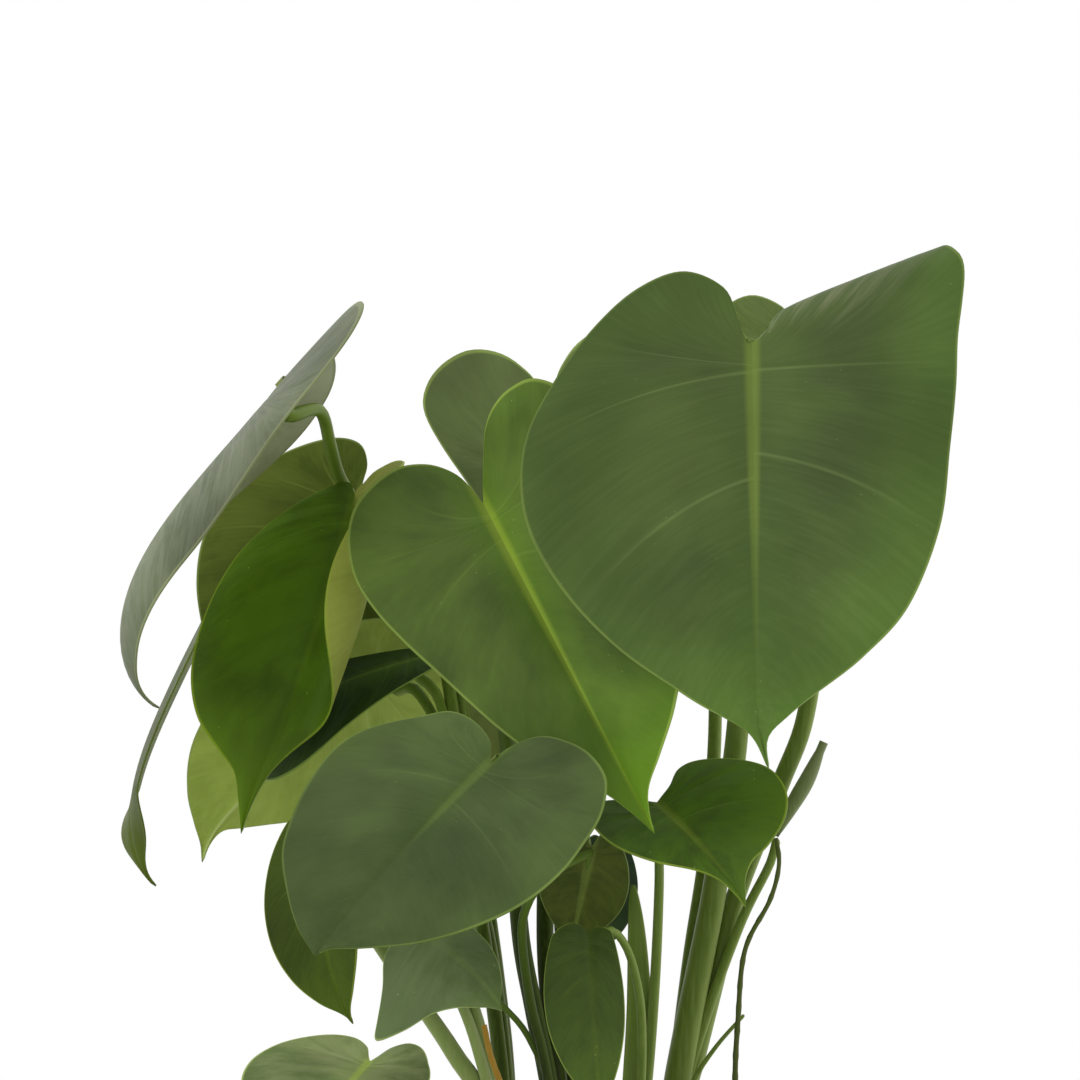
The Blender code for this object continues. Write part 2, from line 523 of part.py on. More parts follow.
def blade_solid(leaf):
    """Points and faces of a blade with its thickness, and a rib raised under its midrib."""
    points, triangles, shares, rim = blade_sheet(leaf)
    normals = np.zeros_like(points)
    for a, b, c in triangles:
        cross = np.cross(points[b] - points[a], points[c] - points[a])
        for corner in (a, b, c):
            normals[corner] += cross
    normals /= np.linalg.norm(normals, axis=1)[:, None]
    rib = np.clip(shares / RIB_RISE, 0, 1) * (1 - shares)
    under = BLADE / 2 + np.where(shares >= 0, RIB * rib, 0)
    top = points + normals * BLADE / 2
    bottom = points - normals * under[:, None]
    count = len(points)
    faces = [tuple(t) for t in triangles]
    faces += [(c + count, b + count, a + count) for a, b, c in triangles]
    for a, b in zip(rim, rim[1:] + rim[:1]):
        faces.append((a, b, b + count))
        faces.append((a, b + count, a + count))
    return np.vstack([top, bottom]), faces


def joint_of(leaf, radius):
    """Where a stalk's round top ends under a blade's sinus, and the blade's heading and up."""
    places, headings, ups, _ = midrib(leaf)
    room = radius + JOINT_GAP + BLADE / 2 + RIB
    return leaf["sinus"] + headings[0] * JOINT_AHEAD - ups[0] * room, headings[0], ups[0]


# Stalks

def tube(places, radii, sides, flat=1.0, facing=None):
    """Points and faces of a closed tube. Flat squashes it along the facing direction."""
    places = np.asarray(places, float)
    headings = np.gradient(places, axis=0)
    headings /= np.linalg.norm(headings, axis=1)[:, None]
    side = np.cross(headings[0], facing if facing is not None else (0, 1, 0))
    turns = 2 * np.pi * np.arange(sides) / sides
    points = []
    for place, heading, radius in zip(places, headings, radii):
        side = unit(side - (side @ heading) * heading)
        other = np.cross(heading, side)
        points += [place + radius * (math.cos(t) * side + flat * math.sin(t) * other)
                   for t in turns]
    rings = len(places)
    faces = []
    for i in range(rings - 1):
        for k in range(sides):
            a, b = i * sides + k, i * sides + (k + 1) % sides
            faces.append((a, b, b + sides, a + sides))
    faces.append(tuple(range(sides))[::-1])
    faces.append(tuple(range((rings - 1) * sides, rings * sides)))
    return np.array(points), faces


def rounded_top(places, radii, radius):
    """A path and its radii with a dome added past its last place."""
    ahead = unit(places[-1] - places[-2])
    more = [places[-1] + ahead * radius * step for step, _ in DOME]
    return np.vstack([places, more]), list(radii) + [radius * share for _, share in DOME]


def stalk(foot, places, foot_radius, top_radius):
    """A stalk from its crown up to its last place, swelling a little under the blade."""
    route = [np.array([foot[0] * MM, foot[1] * MM, SOIL_LEVEL - STALK_SINK])] + places
    curve = through(route, CURVE_STEPS)
    length = np.linalg.norm(np.diff(curve, axis=0), axis=1).sum()
    curve = evenly(curve, max(6, round(length / STALK_STEP) + 1))
    share = np.linspace(0, 1, len(curve))
    radii = (foot_radius + (top_radius - foot_radius) * share ** STALK_TAPER) * MM
    curve, radii = rounded_top(curve, radii, top_radius * MM)
    return tube(curve, radii, STALK_SIDES)


def leaf_stalk(foot, name, foot_radius, top_radius, places):
    leaf = PLAIN_LEAF | LEAVES[name]
    top, heading, up = joint_of(leaf, top_radius * MM)
    below, ahead, back = leaf["approach"]
    approach = top - up * below * MM + heading * ahead * MM + unit(places[0] - top) * back * MM
    return stalk(foot, list(places[::-1]) + [approach, top], foot_radius, top_radius)


def crown_profile(radius):
    """Radius and height above the soil of a crown, from its foot to its top."""
    shoulder = [(radius * share, height) for share, height in CROWN_SHAPE]
    return [(radius, -CROWN_DEPTH), (radius, 0)] + shoulder


def crown_solid(foot, radius):
    profile = crown_profile(radius * MM)
    places = [np.array([foot[0] * MM, foot[1] * MM, SOIL_LEVEL + height]) for _, height in profile]
    return tube(places, [r for r, _ in profile], CROWN_SIDES)


def sheath_solid(foot):
    """The winged sheath: a flat blade with a pointed tip, thick enough to stand."""
    width, thickness, places = SHEATH
    route = [np.array([foot[0] * MM, foot[1] * MM, SOIL_LEVEL])] + list(places[::-1])
    curve = evenly(through(route, CURVE_STEPS), SHEATH_RINGS)
    share = np.linspace(0, 1, SHEATH_RINGS)
    radii = width * MM * np.sqrt(np.clip(SHEATH_END - share ** 3, 0, 1))
    return tube(curve, radii, STALK_SIDES, thickness / width * SHEATH_FLAT, (0, -1, 0))


def spindle_solid(radius, places):
    """The rolled young leaf: fat in the middle and pointed at the tip."""
    curve = evenly(through(places, CURVE_STEPS), SPINDLE_RINGS)
    share = np.clip(np.linspace(0, 1, SPINDLE_RINGS), *SPINDLE_SPAN)
    radii = radius * MM * (SPINDLE_FOOT + (1 - SPINDLE_FOOT) * np.sin(np.pi * share))
    return tube(curve, radii, STALK_SIDES)


def rooted_solid(radius, places, foot):
    """A thin stem or root whose lower end stands straight down in the soil."""
    down = np.array([foot[0] * MM, foot[1] * MM, 0])
    ground = [down + (0, 0, SOIL_LEVEL - CROWN_DEPTH), down + (0, 0, SOIL_LEVEL + ROOT_STRAIGHT)]
    curve = through(ground + list(places[::-1]), CURVE_STEPS)
    length = np.linalg.norm(np.diff(curve, axis=0), axis=1).sum()
    curve = evenly(curve, round(length / ROOT_STEP) + 1)
    curve[:2, :2] = down[:2]
    radii = radius * MM * np.linspace(*ROOT_TAPER, len(curve))
    return tube(curve, radii, ROOT_SIDES)


# Blender objects

def material(name, colour, roughness):
    shade = bpy.data.materials.new(name)
    shade.use_nodes = True
    shader = shade.node_tree.nodes["Principled BSDF"]
    shader.inputs["Base Color"].default_value = (*colour, 1)
    shader.inputs["Roughness"].default_value = roughness
    shader.inputs["Metallic"].default_value = 0
    shade.diffuse_color = (*colour, 1)
    return shade


def solid(name, points, faces, shade=None):
    """A new object from points and faces, with its faces turned out."""
    mesh = bpy.data.meshes.new(name)
    mesh.from_pydata([tuple(p) for p in points], [], faces)
    shape = bmesh.new()
    shape.from_mesh(mesh)
    bmesh.ops.recalc_face_normals(shape, faces=shape.faces)
    shape.to_mesh(mesh)
    shape.free()
    piece = bpy.data.objects.new(name, mesh)
    bpy.context.scene.collection.objects.link(piece)
    if shade:
        mesh.materials.append(shade)
        mesh.shade_smooth()
        mesh.set_sharp_from_angle(angle=math.radians(40))
    return piece


def combine(piece, others, operation):
    """Joins or cuts a piece with others by one Boolean, and removes the others."""
    group = bpy.data.collections.new(piece.name + "_others")
    for other in others:
        bpy.context.scene.collection.objects.unlink(other)
        group.objects.link(other)
    bpy.context.scene.collection.children.link(group)
    boolean = piece.modifiers.new("combine", "BOOLEAN")
    boolean.operation = operation
    boolean.operand_type = "COLLECTION"
    boolean.collection = group
    boolean.solver = "EXACT"
    bpy.context.view_layer.update()
    evaluated = piece.evaluated_get(bpy.context.evaluated_depsgraph_get())
    mesh = bpy.data.meshes.new_from_object(evaluated)
    piece.modifiers.remove(boolean)
    piece.data = mesh
    for other in others:
        bpy.data.objects.remove(other)
    bpy.data.collections.remove(group)


def finish(piece, shade):
    piece.data.materials.clear()
    piece.data.materials.append(shade)
    piece.data.shade_smooth()
    piece.data.set_sharp_from_angle(angle=math.radians(40))


def turned_solid(name, profile, segments):
    """A closed ring profile of radius and height, turned about the pot's axis."""
    points, faces = [], []
    count = len(profile)
    for k in range(segments):
        angle = 2 * math.pi * k / segments
        points += [(r * math.cos(angle), r * math.sin(angle), z) for r, z in profile]
    for k in range(segments):
        a, b = k * count, (k + 1) % segments * count
        faces += [(a + i, b + i, b + i + 1, a + i + 1) for i in range(count - 1)]
    faces.append(tuple(k * count for k in range(segments)))
    faces.append(tuple(k * count + count - 1 for k in range(segments)))
    return solid(name, points, faces)


def pot_radius(height):
    """The pot's outer radius at a height, without its rim band."""
    top = POT_RIM_RADIUS - RIM_STEP
    return POT_BASE_RADIUS + (top - POT_BASE_RADIUS) * height / POT_HEIGHT


def make_pot(shade):
    band = POT_HEIGHT - RIM_HEIGHT
    soft = RIM_ROUNDING
    inner_top = inner_radius(POT_HEIGHT)
    inner_foot = inner_radius(POT_FLOOR)
    profile = ((POT_BASE_RADIUS - soft, 0), (POT_BASE_RADIUS, soft),
               (pot_radius(band), band - soft), (POT_RIM_RADIUS - soft, band),
               (POT_RIM_RADIUS, band + soft), (POT_RIM_RADIUS, POT_HEIGHT - soft),
               (POT_RIM_RADIUS - soft, POT_HEIGHT), (inner_top + soft, POT_HEIGHT),
               (inner_top, POT_HEIGHT - soft), (inner_foot, POT_FLOOR + 2 * soft),
               (inner_foot - 2 * soft, POT_FLOOR))
    pot = turned_solid("pot", profile, POT_SEGMENTS)
    drains = []
    for k in range(DRAIN_COUNT):
        angle = 2 * math.pi * (k + 0.5) / DRAIN_COUNT
        places = [(DRAIN_CIRCLE * math.cos(angle), DRAIN_CIRCLE * math.sin(angle), z)
                  for z in (-CUT_PAST, POT_FLOOR + CUT_PAST)]
        drains.append(solid("drain", *tube(places, (DRAIN_RADIUS, DRAIN_RADIUS), DRAIN_SIDES)))
    combine(pot, drains, "DIFFERENCE")
    finish(pot, shade)


def inner_radius(height):
    inner_top = pot_radius(POT_HEIGHT) - POT_WALL + RIM_THINNING
    inner_foot = pot_radius(POT_FLOOR) - POT_WALL
    share = (height - POT_FLOOR) / (POT_HEIGHT - POT_FLOOR)
    return inner_foot + (inner_top - inner_foot) * share


def soil_height(x, y):
    """The soil's bumpy top, lowest round its edge."""
    bumps = (math.sin(x * 150 + 1) * math.cos(y * 170) + 0.6 * math.sin(x * 310 - y * 260)
             + 0.5 * math.cos(x * 90 + y * 420))
    edge = math.hypot(x, y) / inner_radius(SOIL_LEVEL)
    return SOIL_LEVEL + SOIL_BUMP * (0.5 * bumps - 1.2 * edge ** 6)


def make_soil(shade):
    """The soil, with a plain hole for each crown, the root and the dry stalk."""
    foot = POT_FLOOR + SOIL_ROOM
    foot_radius = inner_radius(foot) - SOIL_FOOT_ROOM
    points = [(0, 0, soil_height(0, 0))]
    faces = []
    for ring in range(1, SOIL_RINGS + 1):
        radius = (inner_radius(SOIL_LEVEL) - SOIL_EDGE_ROOM) * (ring / SOIL_RINGS) ** SOIL_RING_POWER
        for k in range(SOIL_SEGMENTS):
            angle = 2 * math.pi * (k + 0.5 * (ring % 2)) / SOIL_SEGMENTS
            x, y = radius * math.cos(angle), radius * math.sin(angle)
            points.append((x, y, soil_height(x, y)))
    for k in range(SOIL_SEGMENTS):
        after = (k + 1) % SOIL_SEGMENTS
        faces.append((0, 1 + k, 1 + after))
        for ring in range(SOIL_RINGS - 1):
            a, b = 1 + ring * SOIL_SEGMENTS, 1 + (ring + 1) * SOIL_SEGMENTS
            faces.append((a + k, b + k, b + after, a + after))
    edge = 1 + (SOIL_RINGS - 1) * SOIL_SEGMENTS
    base = len(points)
    for k in range(SOIL_SEGMENTS):
        angle = 2 * math.pi * (k + 0.5 * (SOIL_RINGS % 2)) / SOIL_SEGMENTS
        points.append((foot_radius * math.cos(angle), foot_radius * math.sin(angle), foot))
        after = (k + 1) % SOIL_SEGMENTS
        faces.append((edge + k, base + k, base + after, edge + after))
    faces.append(tuple(range(base, base + SOIL_SEGMENTS)))
    soil = solid("soil", points, faces)
    holes = [(crown["foot"], crown["radius"] * MM, CROWN_SIDES) for crown in CROWNS.values()]
    holes += [(piece[2], piece[0] * ROOT_TAPER[0] * MM, ROOT_SIDES)
              for piece in (AERIAL_ROOT, DRY_STALK)]
    cutters = []
    for place, radius, sides in holes:
        room = (radius + SOIL_ROOM) / math.cos(math.pi / sides)
        ends = [(place[0] * MM, place[1] * MM, z)
                for z in (SOIL_LEVEL - CROWN_DEPTH - SOIL_ROOM, SOIL_LEVEL + HOLE_PAST)]
        cutters.append(solid("hole", *tube(ends, (room, room), sides)))
    combine(soil, cutters, "DIFFERENCE")
    finish(soil, shade)


def make_stems(name, crown, shade):
    """A crown with its stalks, spurs and sheath grown into one."""
    foot = crown["foot"]
    stems = solid(name, *crown_solid(foot, crown["radius"]))
    others = [solid("stalk", *leaf_stalk(foot, *each)) for each in crown["stalks"]]
    for tip_radius, foot_radius, places in SPURS.get(name, ()):
        others.append(solid("spur", *stalk(foot, list(places[::-1]), foot_radius, tip_radius)))
    if name == "stems_right":
        tip_radius, foot_radius, places = YOUNG_STALK
        others.append(solid("spur", *stalk(foot, list(places[::-1]), foot_radius, tip_radius)))
    if name == "stems_front":
        others.append(solid("sheath", *sheath_solid(foot)))
    combine(stems, others, "UNION")
    finish(stems, shade)


def build():
    for old in list(bpy.data.objects):
        bpy.data.objects.remove(old)
    make_pot(material("terracotta", TERRACOTTA, 0.85))
    make_soil(material("potting_soil", SOIL_BROWN, 0.95))
    for name, crown in CROWNS.items():
        make_stems(name, crown, material(name + "_green", STALK_GREEN, 0.5))
    for name, leaf in LEAVES.items():
        points, faces = blade_solid(PLAIN_LEAF | leaf)
        solid(name, points, faces, material(name + "_green", LEAF_GREEN, 0.45))
    young, root, dry = [material(*look) for look in SMALL_LOOKS]
    solid("rolled_leaf", *spindle_solid(*ROLLED_LEAF), young)
    solid("aerial_root", *rooted_solid(*AERIAL_ROOT), root)
    solid("dry_stalk", *rooted_solid(*DRY_STALK), dry)


build()
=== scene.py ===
"""Looks for the potted swiss cheese plant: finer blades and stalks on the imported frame,
with procedural materials, a camera at the photograph's angle and soft studio light."""

import math
import random
from types import SimpleNamespace

import bpy
import numpy as np
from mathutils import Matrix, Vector


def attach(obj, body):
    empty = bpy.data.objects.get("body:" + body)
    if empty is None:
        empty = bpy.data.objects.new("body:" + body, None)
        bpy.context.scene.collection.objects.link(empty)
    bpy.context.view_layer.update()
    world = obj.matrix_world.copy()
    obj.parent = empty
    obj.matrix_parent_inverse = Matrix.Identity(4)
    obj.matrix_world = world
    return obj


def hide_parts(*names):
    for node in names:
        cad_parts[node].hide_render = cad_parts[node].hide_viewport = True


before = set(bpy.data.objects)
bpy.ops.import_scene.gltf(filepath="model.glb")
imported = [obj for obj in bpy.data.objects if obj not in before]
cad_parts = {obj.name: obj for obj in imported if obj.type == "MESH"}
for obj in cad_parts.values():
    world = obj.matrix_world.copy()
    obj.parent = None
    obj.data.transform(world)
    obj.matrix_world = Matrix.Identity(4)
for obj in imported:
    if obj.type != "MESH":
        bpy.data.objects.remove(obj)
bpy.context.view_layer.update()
random.seed(7)

MM = 0.001

# Where things stand, as in the part: the pot's axis is the origin's, and the pot is on z = 0.
EYE = (-12.8 * MM, -1500.0 * MM, 326.2 * MM)
SCALE = 0.32 * MM
PHOTO_CENTRE = 540
PHOTO_WIDTH = 1080

POT_HEIGHT = 115 * MM
POT_RIM_RADIUS = 66 * MM
POT_BASE_RADIUS = 47 * MM
POT_WALL = 5 * MM
POT_FLOOR = 7 * MM
RIM_HEIGHT = 22 * MM
RIM_STEP = 3.5 * MM
DRAIN_COUNT = 4
DRAIN_RADIUS = 4.5 * MM
DRAIN_CIRCLE = 26 * MM
DRAIN_SIDES = 32
# How far past the pot's floor a drain's cutter reaches on both sides
DRAIN_REACH = 2 * MM
POT_SEGMENTS = 144
POT_SMOOTH = 35
# How far each corner of the pot's profile is rounded off, from the foot round to the floor
POT_ROUNDS = (1.5 * MM, 1.2 * MM, 1.8 * MM, 2.2 * MM, 2 * MM, 3 * MM)
ROUND_STEPS = 5
# How far in from its edge the profile starts on the foot, and ends on the floor inside
FOOT_START = 4 * MM
FLOOR_END = 6 * MM
# The wall is thinner at the top by so much
WALL_TAPER = 1 * MM

SOIL_LEVEL = 103 * MM
SOIL_BUMP = 1.6 * MM
SOIL_GAP = 1 * MM
# How far the soil's foot keeps from the pot's wall and from its floor
SOIL_FOOT = (5 * MM, 0.3 * MM)
SOIL_RINGS = 60
SOIL_SEGMENTS = 180
RING_CROWDING = 0.8
CRUMB = 0.45 * MM
CHIP_COUNT = 420
CHIP_REACH = 0.97
CHIP_SIZES = (0.7, 2.4)
CHIP_SIDES = 6
CHIP_ROUGH = (0.75, 1.15)
CHIP_SHAPE = (1.0, 0.7, 0.35)

BLADE = 0.6 * MM
RIB = 0.9 * MM
GROOVE = 0.35 * MM
CAD_BLADE = 0.8 * MM
CAD_RIB = 0.8 * MM
TAIL = 0.4 * MM
RIB_STATIONS = 160
# The midrib's sweep grows by the power, and its tip bends from its start on.
SWEEP_POWER = 1.5
TIP_START = 0.8
# How a blade's rows lie: those of the lobes bunch up on the first of the midrib, and those of
# a narrow tail cross it square.
BLADE_START = 0.05
LOBE_ROOTS = 0.06
LOBE_ROWS = 0.35
ROOT_POWER = 2.2
TAIL_WIDTH = 0.3
TAIL_START = 0.5
TAIL_EASE = 0.2
ROW_ELBOW = 0.25
ROW_LEAD = 1.1
EDGE_STEPS = 20
# Where a half has no curl, it is bent by so many degrees, as its bow can't be zero.
LEAST_CURL = 0.01
# The columns crowd at the midrib. The blade lies flat along its side veins and swells between
# them, in full at the reach, a share of the rows. The powers shape the swelling from a vein on
# and along a row. The notch's pair is the share of the rows where it sets in, and the share
# over which it grows.
COLUMN_POWER = 1.45
QUILT_REACH = 0.09
QUILT_POWERS = (0.7, 0.8)
QUILT_EDGE = 0.02
QUILT_NOTCH = (0.02, 0.1)
# The midrib's half width at the tip and how much more it is at the notch, in millimetres, and
# the share of its height that it loses on the way to the tip
RIB_WIDTHS = (0.8, 1.3)
RIB_THINNING = 0.9
BLADE_SMOOTH = 60
# A distance of this much from the midrib is 1 on the map that the materials draw on.
MAP_UNIT = 100 * MM

JOINT_GAP = 0.1 * MM
CROWN_DEPTH = 12 * MM
# A crown's outline: shares of its radius, and heights over the soil
CROWN_OUTLINE = ((1, -CROWN_DEPTH), (1, 0), (0.92, 6 * MM), (0.7, 12.6 * MM), (0.3, 18 * MM))
CROWN_STEPS = 12
CROWN_SIDES = 32
CROWN_RINGS = 40
# How deep a crown's rings are, as a share, and how they turn with each millimetre of height
CROWN_RIDGES = (0.03, 1.7)
LEAST_RADIUS = 0.2 * MM
CURVE_STEPS = 10
STALK_SIDES = 16
STALK_STEP = 3.5 * MM
LEAST_STATIONS = 8
STALK_ROOT = 2 * MM
STALK_TAPER = 0.7
STALK_TOP = 1.5 * MM
# How a stalk with no leaf is rounded at its top: how far on, and how wide, as shares
BLUNT_END = ((0.6, 0.7), (1, 0.15))
# Just below its blade a stalk swells: where, over how long, and by how much
SWELLING = (0.965, 7 * MM, 0.16)
# Where a stalk runs out under its blade: how far ahead, in millimetres, and how wide.
STALK_ENDING = ((2.0, 0.95), (3.5, 0.8), (6.0, 0.5), (9.0, 0.2))
FINE_STEPS = 60
SHEATH_END = 1.02
SHEATH_FLAT = 1.4
SHEATH_SIDES = 20
SPINDLE_SIDES = 24
# The rolled leaf's width goes up and down like half a wave of this length: its least share, and
# where along it the wave starts and stops
SPINDLE_WAVE = 1.02
SPINDLE_LEAST = 0.3
SPINDLE_SPAN = (0.02, 0.9)
# How far a thin piece rises straight out of the soil
ROOT_RISE = 4 * MM
ROOT_STEPS = 90
ROOT_SIDES = 12
ROOT_TAPER = (1.15, 0.4)
KNOT_TURNS = 60
KNOT_POWER = 8

# Outlines of half blades, from the sinus at (0, 0) to the tip at (0, 1), both left out here:
# shares of the half's width, and of the length from the sinus on.
HEART = (
    (0.05, -0.045), (0.13, -0.12), (0.3, -0.165), (0.52, -0.125), (0.74, -0.01), (0.91, 0.14),
    (1, 0.33), (0.94, 0.52), (0.72, 0.69), (0.4, 0.83), (0.15, 0.91), (0.045, 0.955))
BIG_LEFT = (
    (0.035, -0.012), (0.065, -0.06), (0.125, -0.13), (0.3, -0.165), (0.5, -0.12), (0.68, -0.03),
    (0.84, 0.09), (0.97, 0.23), (1, 0.36), (0.95, 0.48), (0.8, 0.61), (0.58, 0.73), (0.32, 0.825),
    (0.1, 0.89), (0.03, 0.93))
BIG_RIGHT = (
    (0.035, -0.01), (0.08, -0.035), (0.11, -0.07), (0.155, -0.105), (0.21, -0.145), (0.3, -0.2),
    (0.46, -0.26), (0.64, -0.295), (0.8, -0.29), (0.91, -0.235), (0.965, -0.205), (1, -0.18),
    (1.01, -0.14), (0.995, -0.07), (0.97, 0.02), (0.955, 0.14), (0.92, 0.28), (0.865, 0.46),
    (0.71, 0.64), (0.5, 0.75), (0.31, 0.82), (0.14, 0.885), (0.03, 0.93))
CENTRE_LEFT = (
    (0.05, -0.087), (0.136, -0.14), (0.25, -0.175), (0.42, -0.195), (0.62, -0.18), (0.8, -0.14),
    (0.93, -0.066), (1, 0.04), (0.975, 0.15), (0.9, 0.26), (0.8, 0.37), (0.6, 0.58), (0.4, 0.73),
    (0.19, 0.84), (0.08, 0.92))
CENTRE_RIGHT = (
    (0.15, -0.1), (0.27, -0.17), (0.41, -0.205), (0.58, -0.21), (0.77, -0.18), (0.93, -0.08), (1, 0.1),
    (0.98, 0.3), (0.9, 0.5), (0.74, 0.66), (0.55, 0.75), (0.3, 0.83), (0.11, 0.89), (0.03, 0.95))
FRONT_LEFT = (
    (0.12, -0.07), (0.33, -0.1), (0.52, -0.08), (0.66, 0), (0.85, 0.115), (0.96, 0.21), (1, 0.33),
    (0.95, 0.49), (0.83, 0.66), (0.7, 0.77), (0.44, 0.885), (0.25, 0.95), (0.09, 0.985))
FRONT_RIGHT = (
    (0.03, -0.1), (0.15, -0.2), (0.33, -0.24), (0.52, -0.25), (0.72, -0.22), (0.84, -0.165),
    (0.95, -0.06), (1, 0.06), (1.03, 0.18), (1.02, 0.3), (0.97, 0.42), (0.88, 0.53), (0.74, 0.65),
    (0.54, 0.77), (0.24, 0.89), (0.06, 0.95))
LONG_LOBED = (
    (0.06, -0.3), (0.2, -0.44), (0.38, -0.52), (0.6, -0.54), (0.82, -0.48), (0.96, -0.38), (1, -0.26),
    (0.9, -0.08), (0.69, 0.18), (0.45, 0.5), (0.2, 0.78))
CURLED_LEFT = (
    (0.06, -0.025), (0.2, -0.005), (0.45, 0.06), (0.7, 0.155), (0.88, 0.26), (0.98, 0.39),
    (0.99, 0.53), (0.91, 0.65), (0.72, 0.75), (0.45, 0.81), (0.22, 0.85), (0.09, 0.92))
CURLED_RIGHT = HEART[:5] + (
    (0.91, 0.11), (1, 0.27), (0.94, 0.41), (0.74, 0.53), (0.45, 0.63), (0.22, 0.71), (0.09, 0.79),
    (0.04, 0.87))
PALE_LOWER = (
    (0.03, -0.09), (0.08, -0.16), (0.26, -0.2), (0.52, -0.14), (0.74, -0.01), (0.91, 0.13), (1, 0.29),
    (0.98, 0.42), (0.9, 0.54), (0.72, 0.65), (0.48, 0.735), (0.24, 0.81), (0.09, 0.855), (0.03, 0.91))
PALE_UPPER = PALE_LOWER[:4] + (
    (0.72, 0), (0.86, 0.14), (0.92, 0.29), (0.91, 0.42), (0.86, 0.54), (0.76, 0.655), (0.63, 0.74),
    (0.44, 0.82), (0.22, 0.88), (0.07, 0.935))
FINGERED = (
    (0.03, -0.1), (0.1, -0.21), (0.25, -0.275), (0.5, -0.29), (0.75, -0.25), (0.92, -0.16), (1, 0),
    (1, 0.2), (0.98, 0.38), (0.9, 0.53), (0.69, 0.69)) + HEART[-3:]
SLOW_WIDE = (
    (0.05, -0.045), (0.12, -0.09), (0.22, -0.09), (0.35, 0.03), (0.52, 0.2), (0.76, 0.42), (0.95, 0.6),
    (1, 0.74), (0.88, 0.87), (0.5, 0.96))
SMALL_LEFT = (
    (0.35, -0.13), (0.66, -0.19), (0.9, -0.12), (1, 0.04), (0.96, 0.245), (0.71, 0.454), (0.3, 0.64),
    (0.12, 0.76), (0.05, 0.88))
SMALL_RIGHT = (
    (0.19, -0.03), (0.37, -0.095), (0.56, -0.06), (0.81, 0.1), (0.98, 0.28), (1, 0.434), (0.92, 0.57),
    (0.74, 0.68), (0.49, 0.75), (0.28, 0.78), (0.12, 0.86))
CORNERED = (
    (0.12, -0.06), (0.34, -0.1), (0.6, 0.06), (0.87, 0.23), (1, 0.34), (0.96, 0.43), (0.76, 0.55),
    (0.52, 0.62), (0.34, 0.72), (0.19, 0.84), (0.08, 0.92))

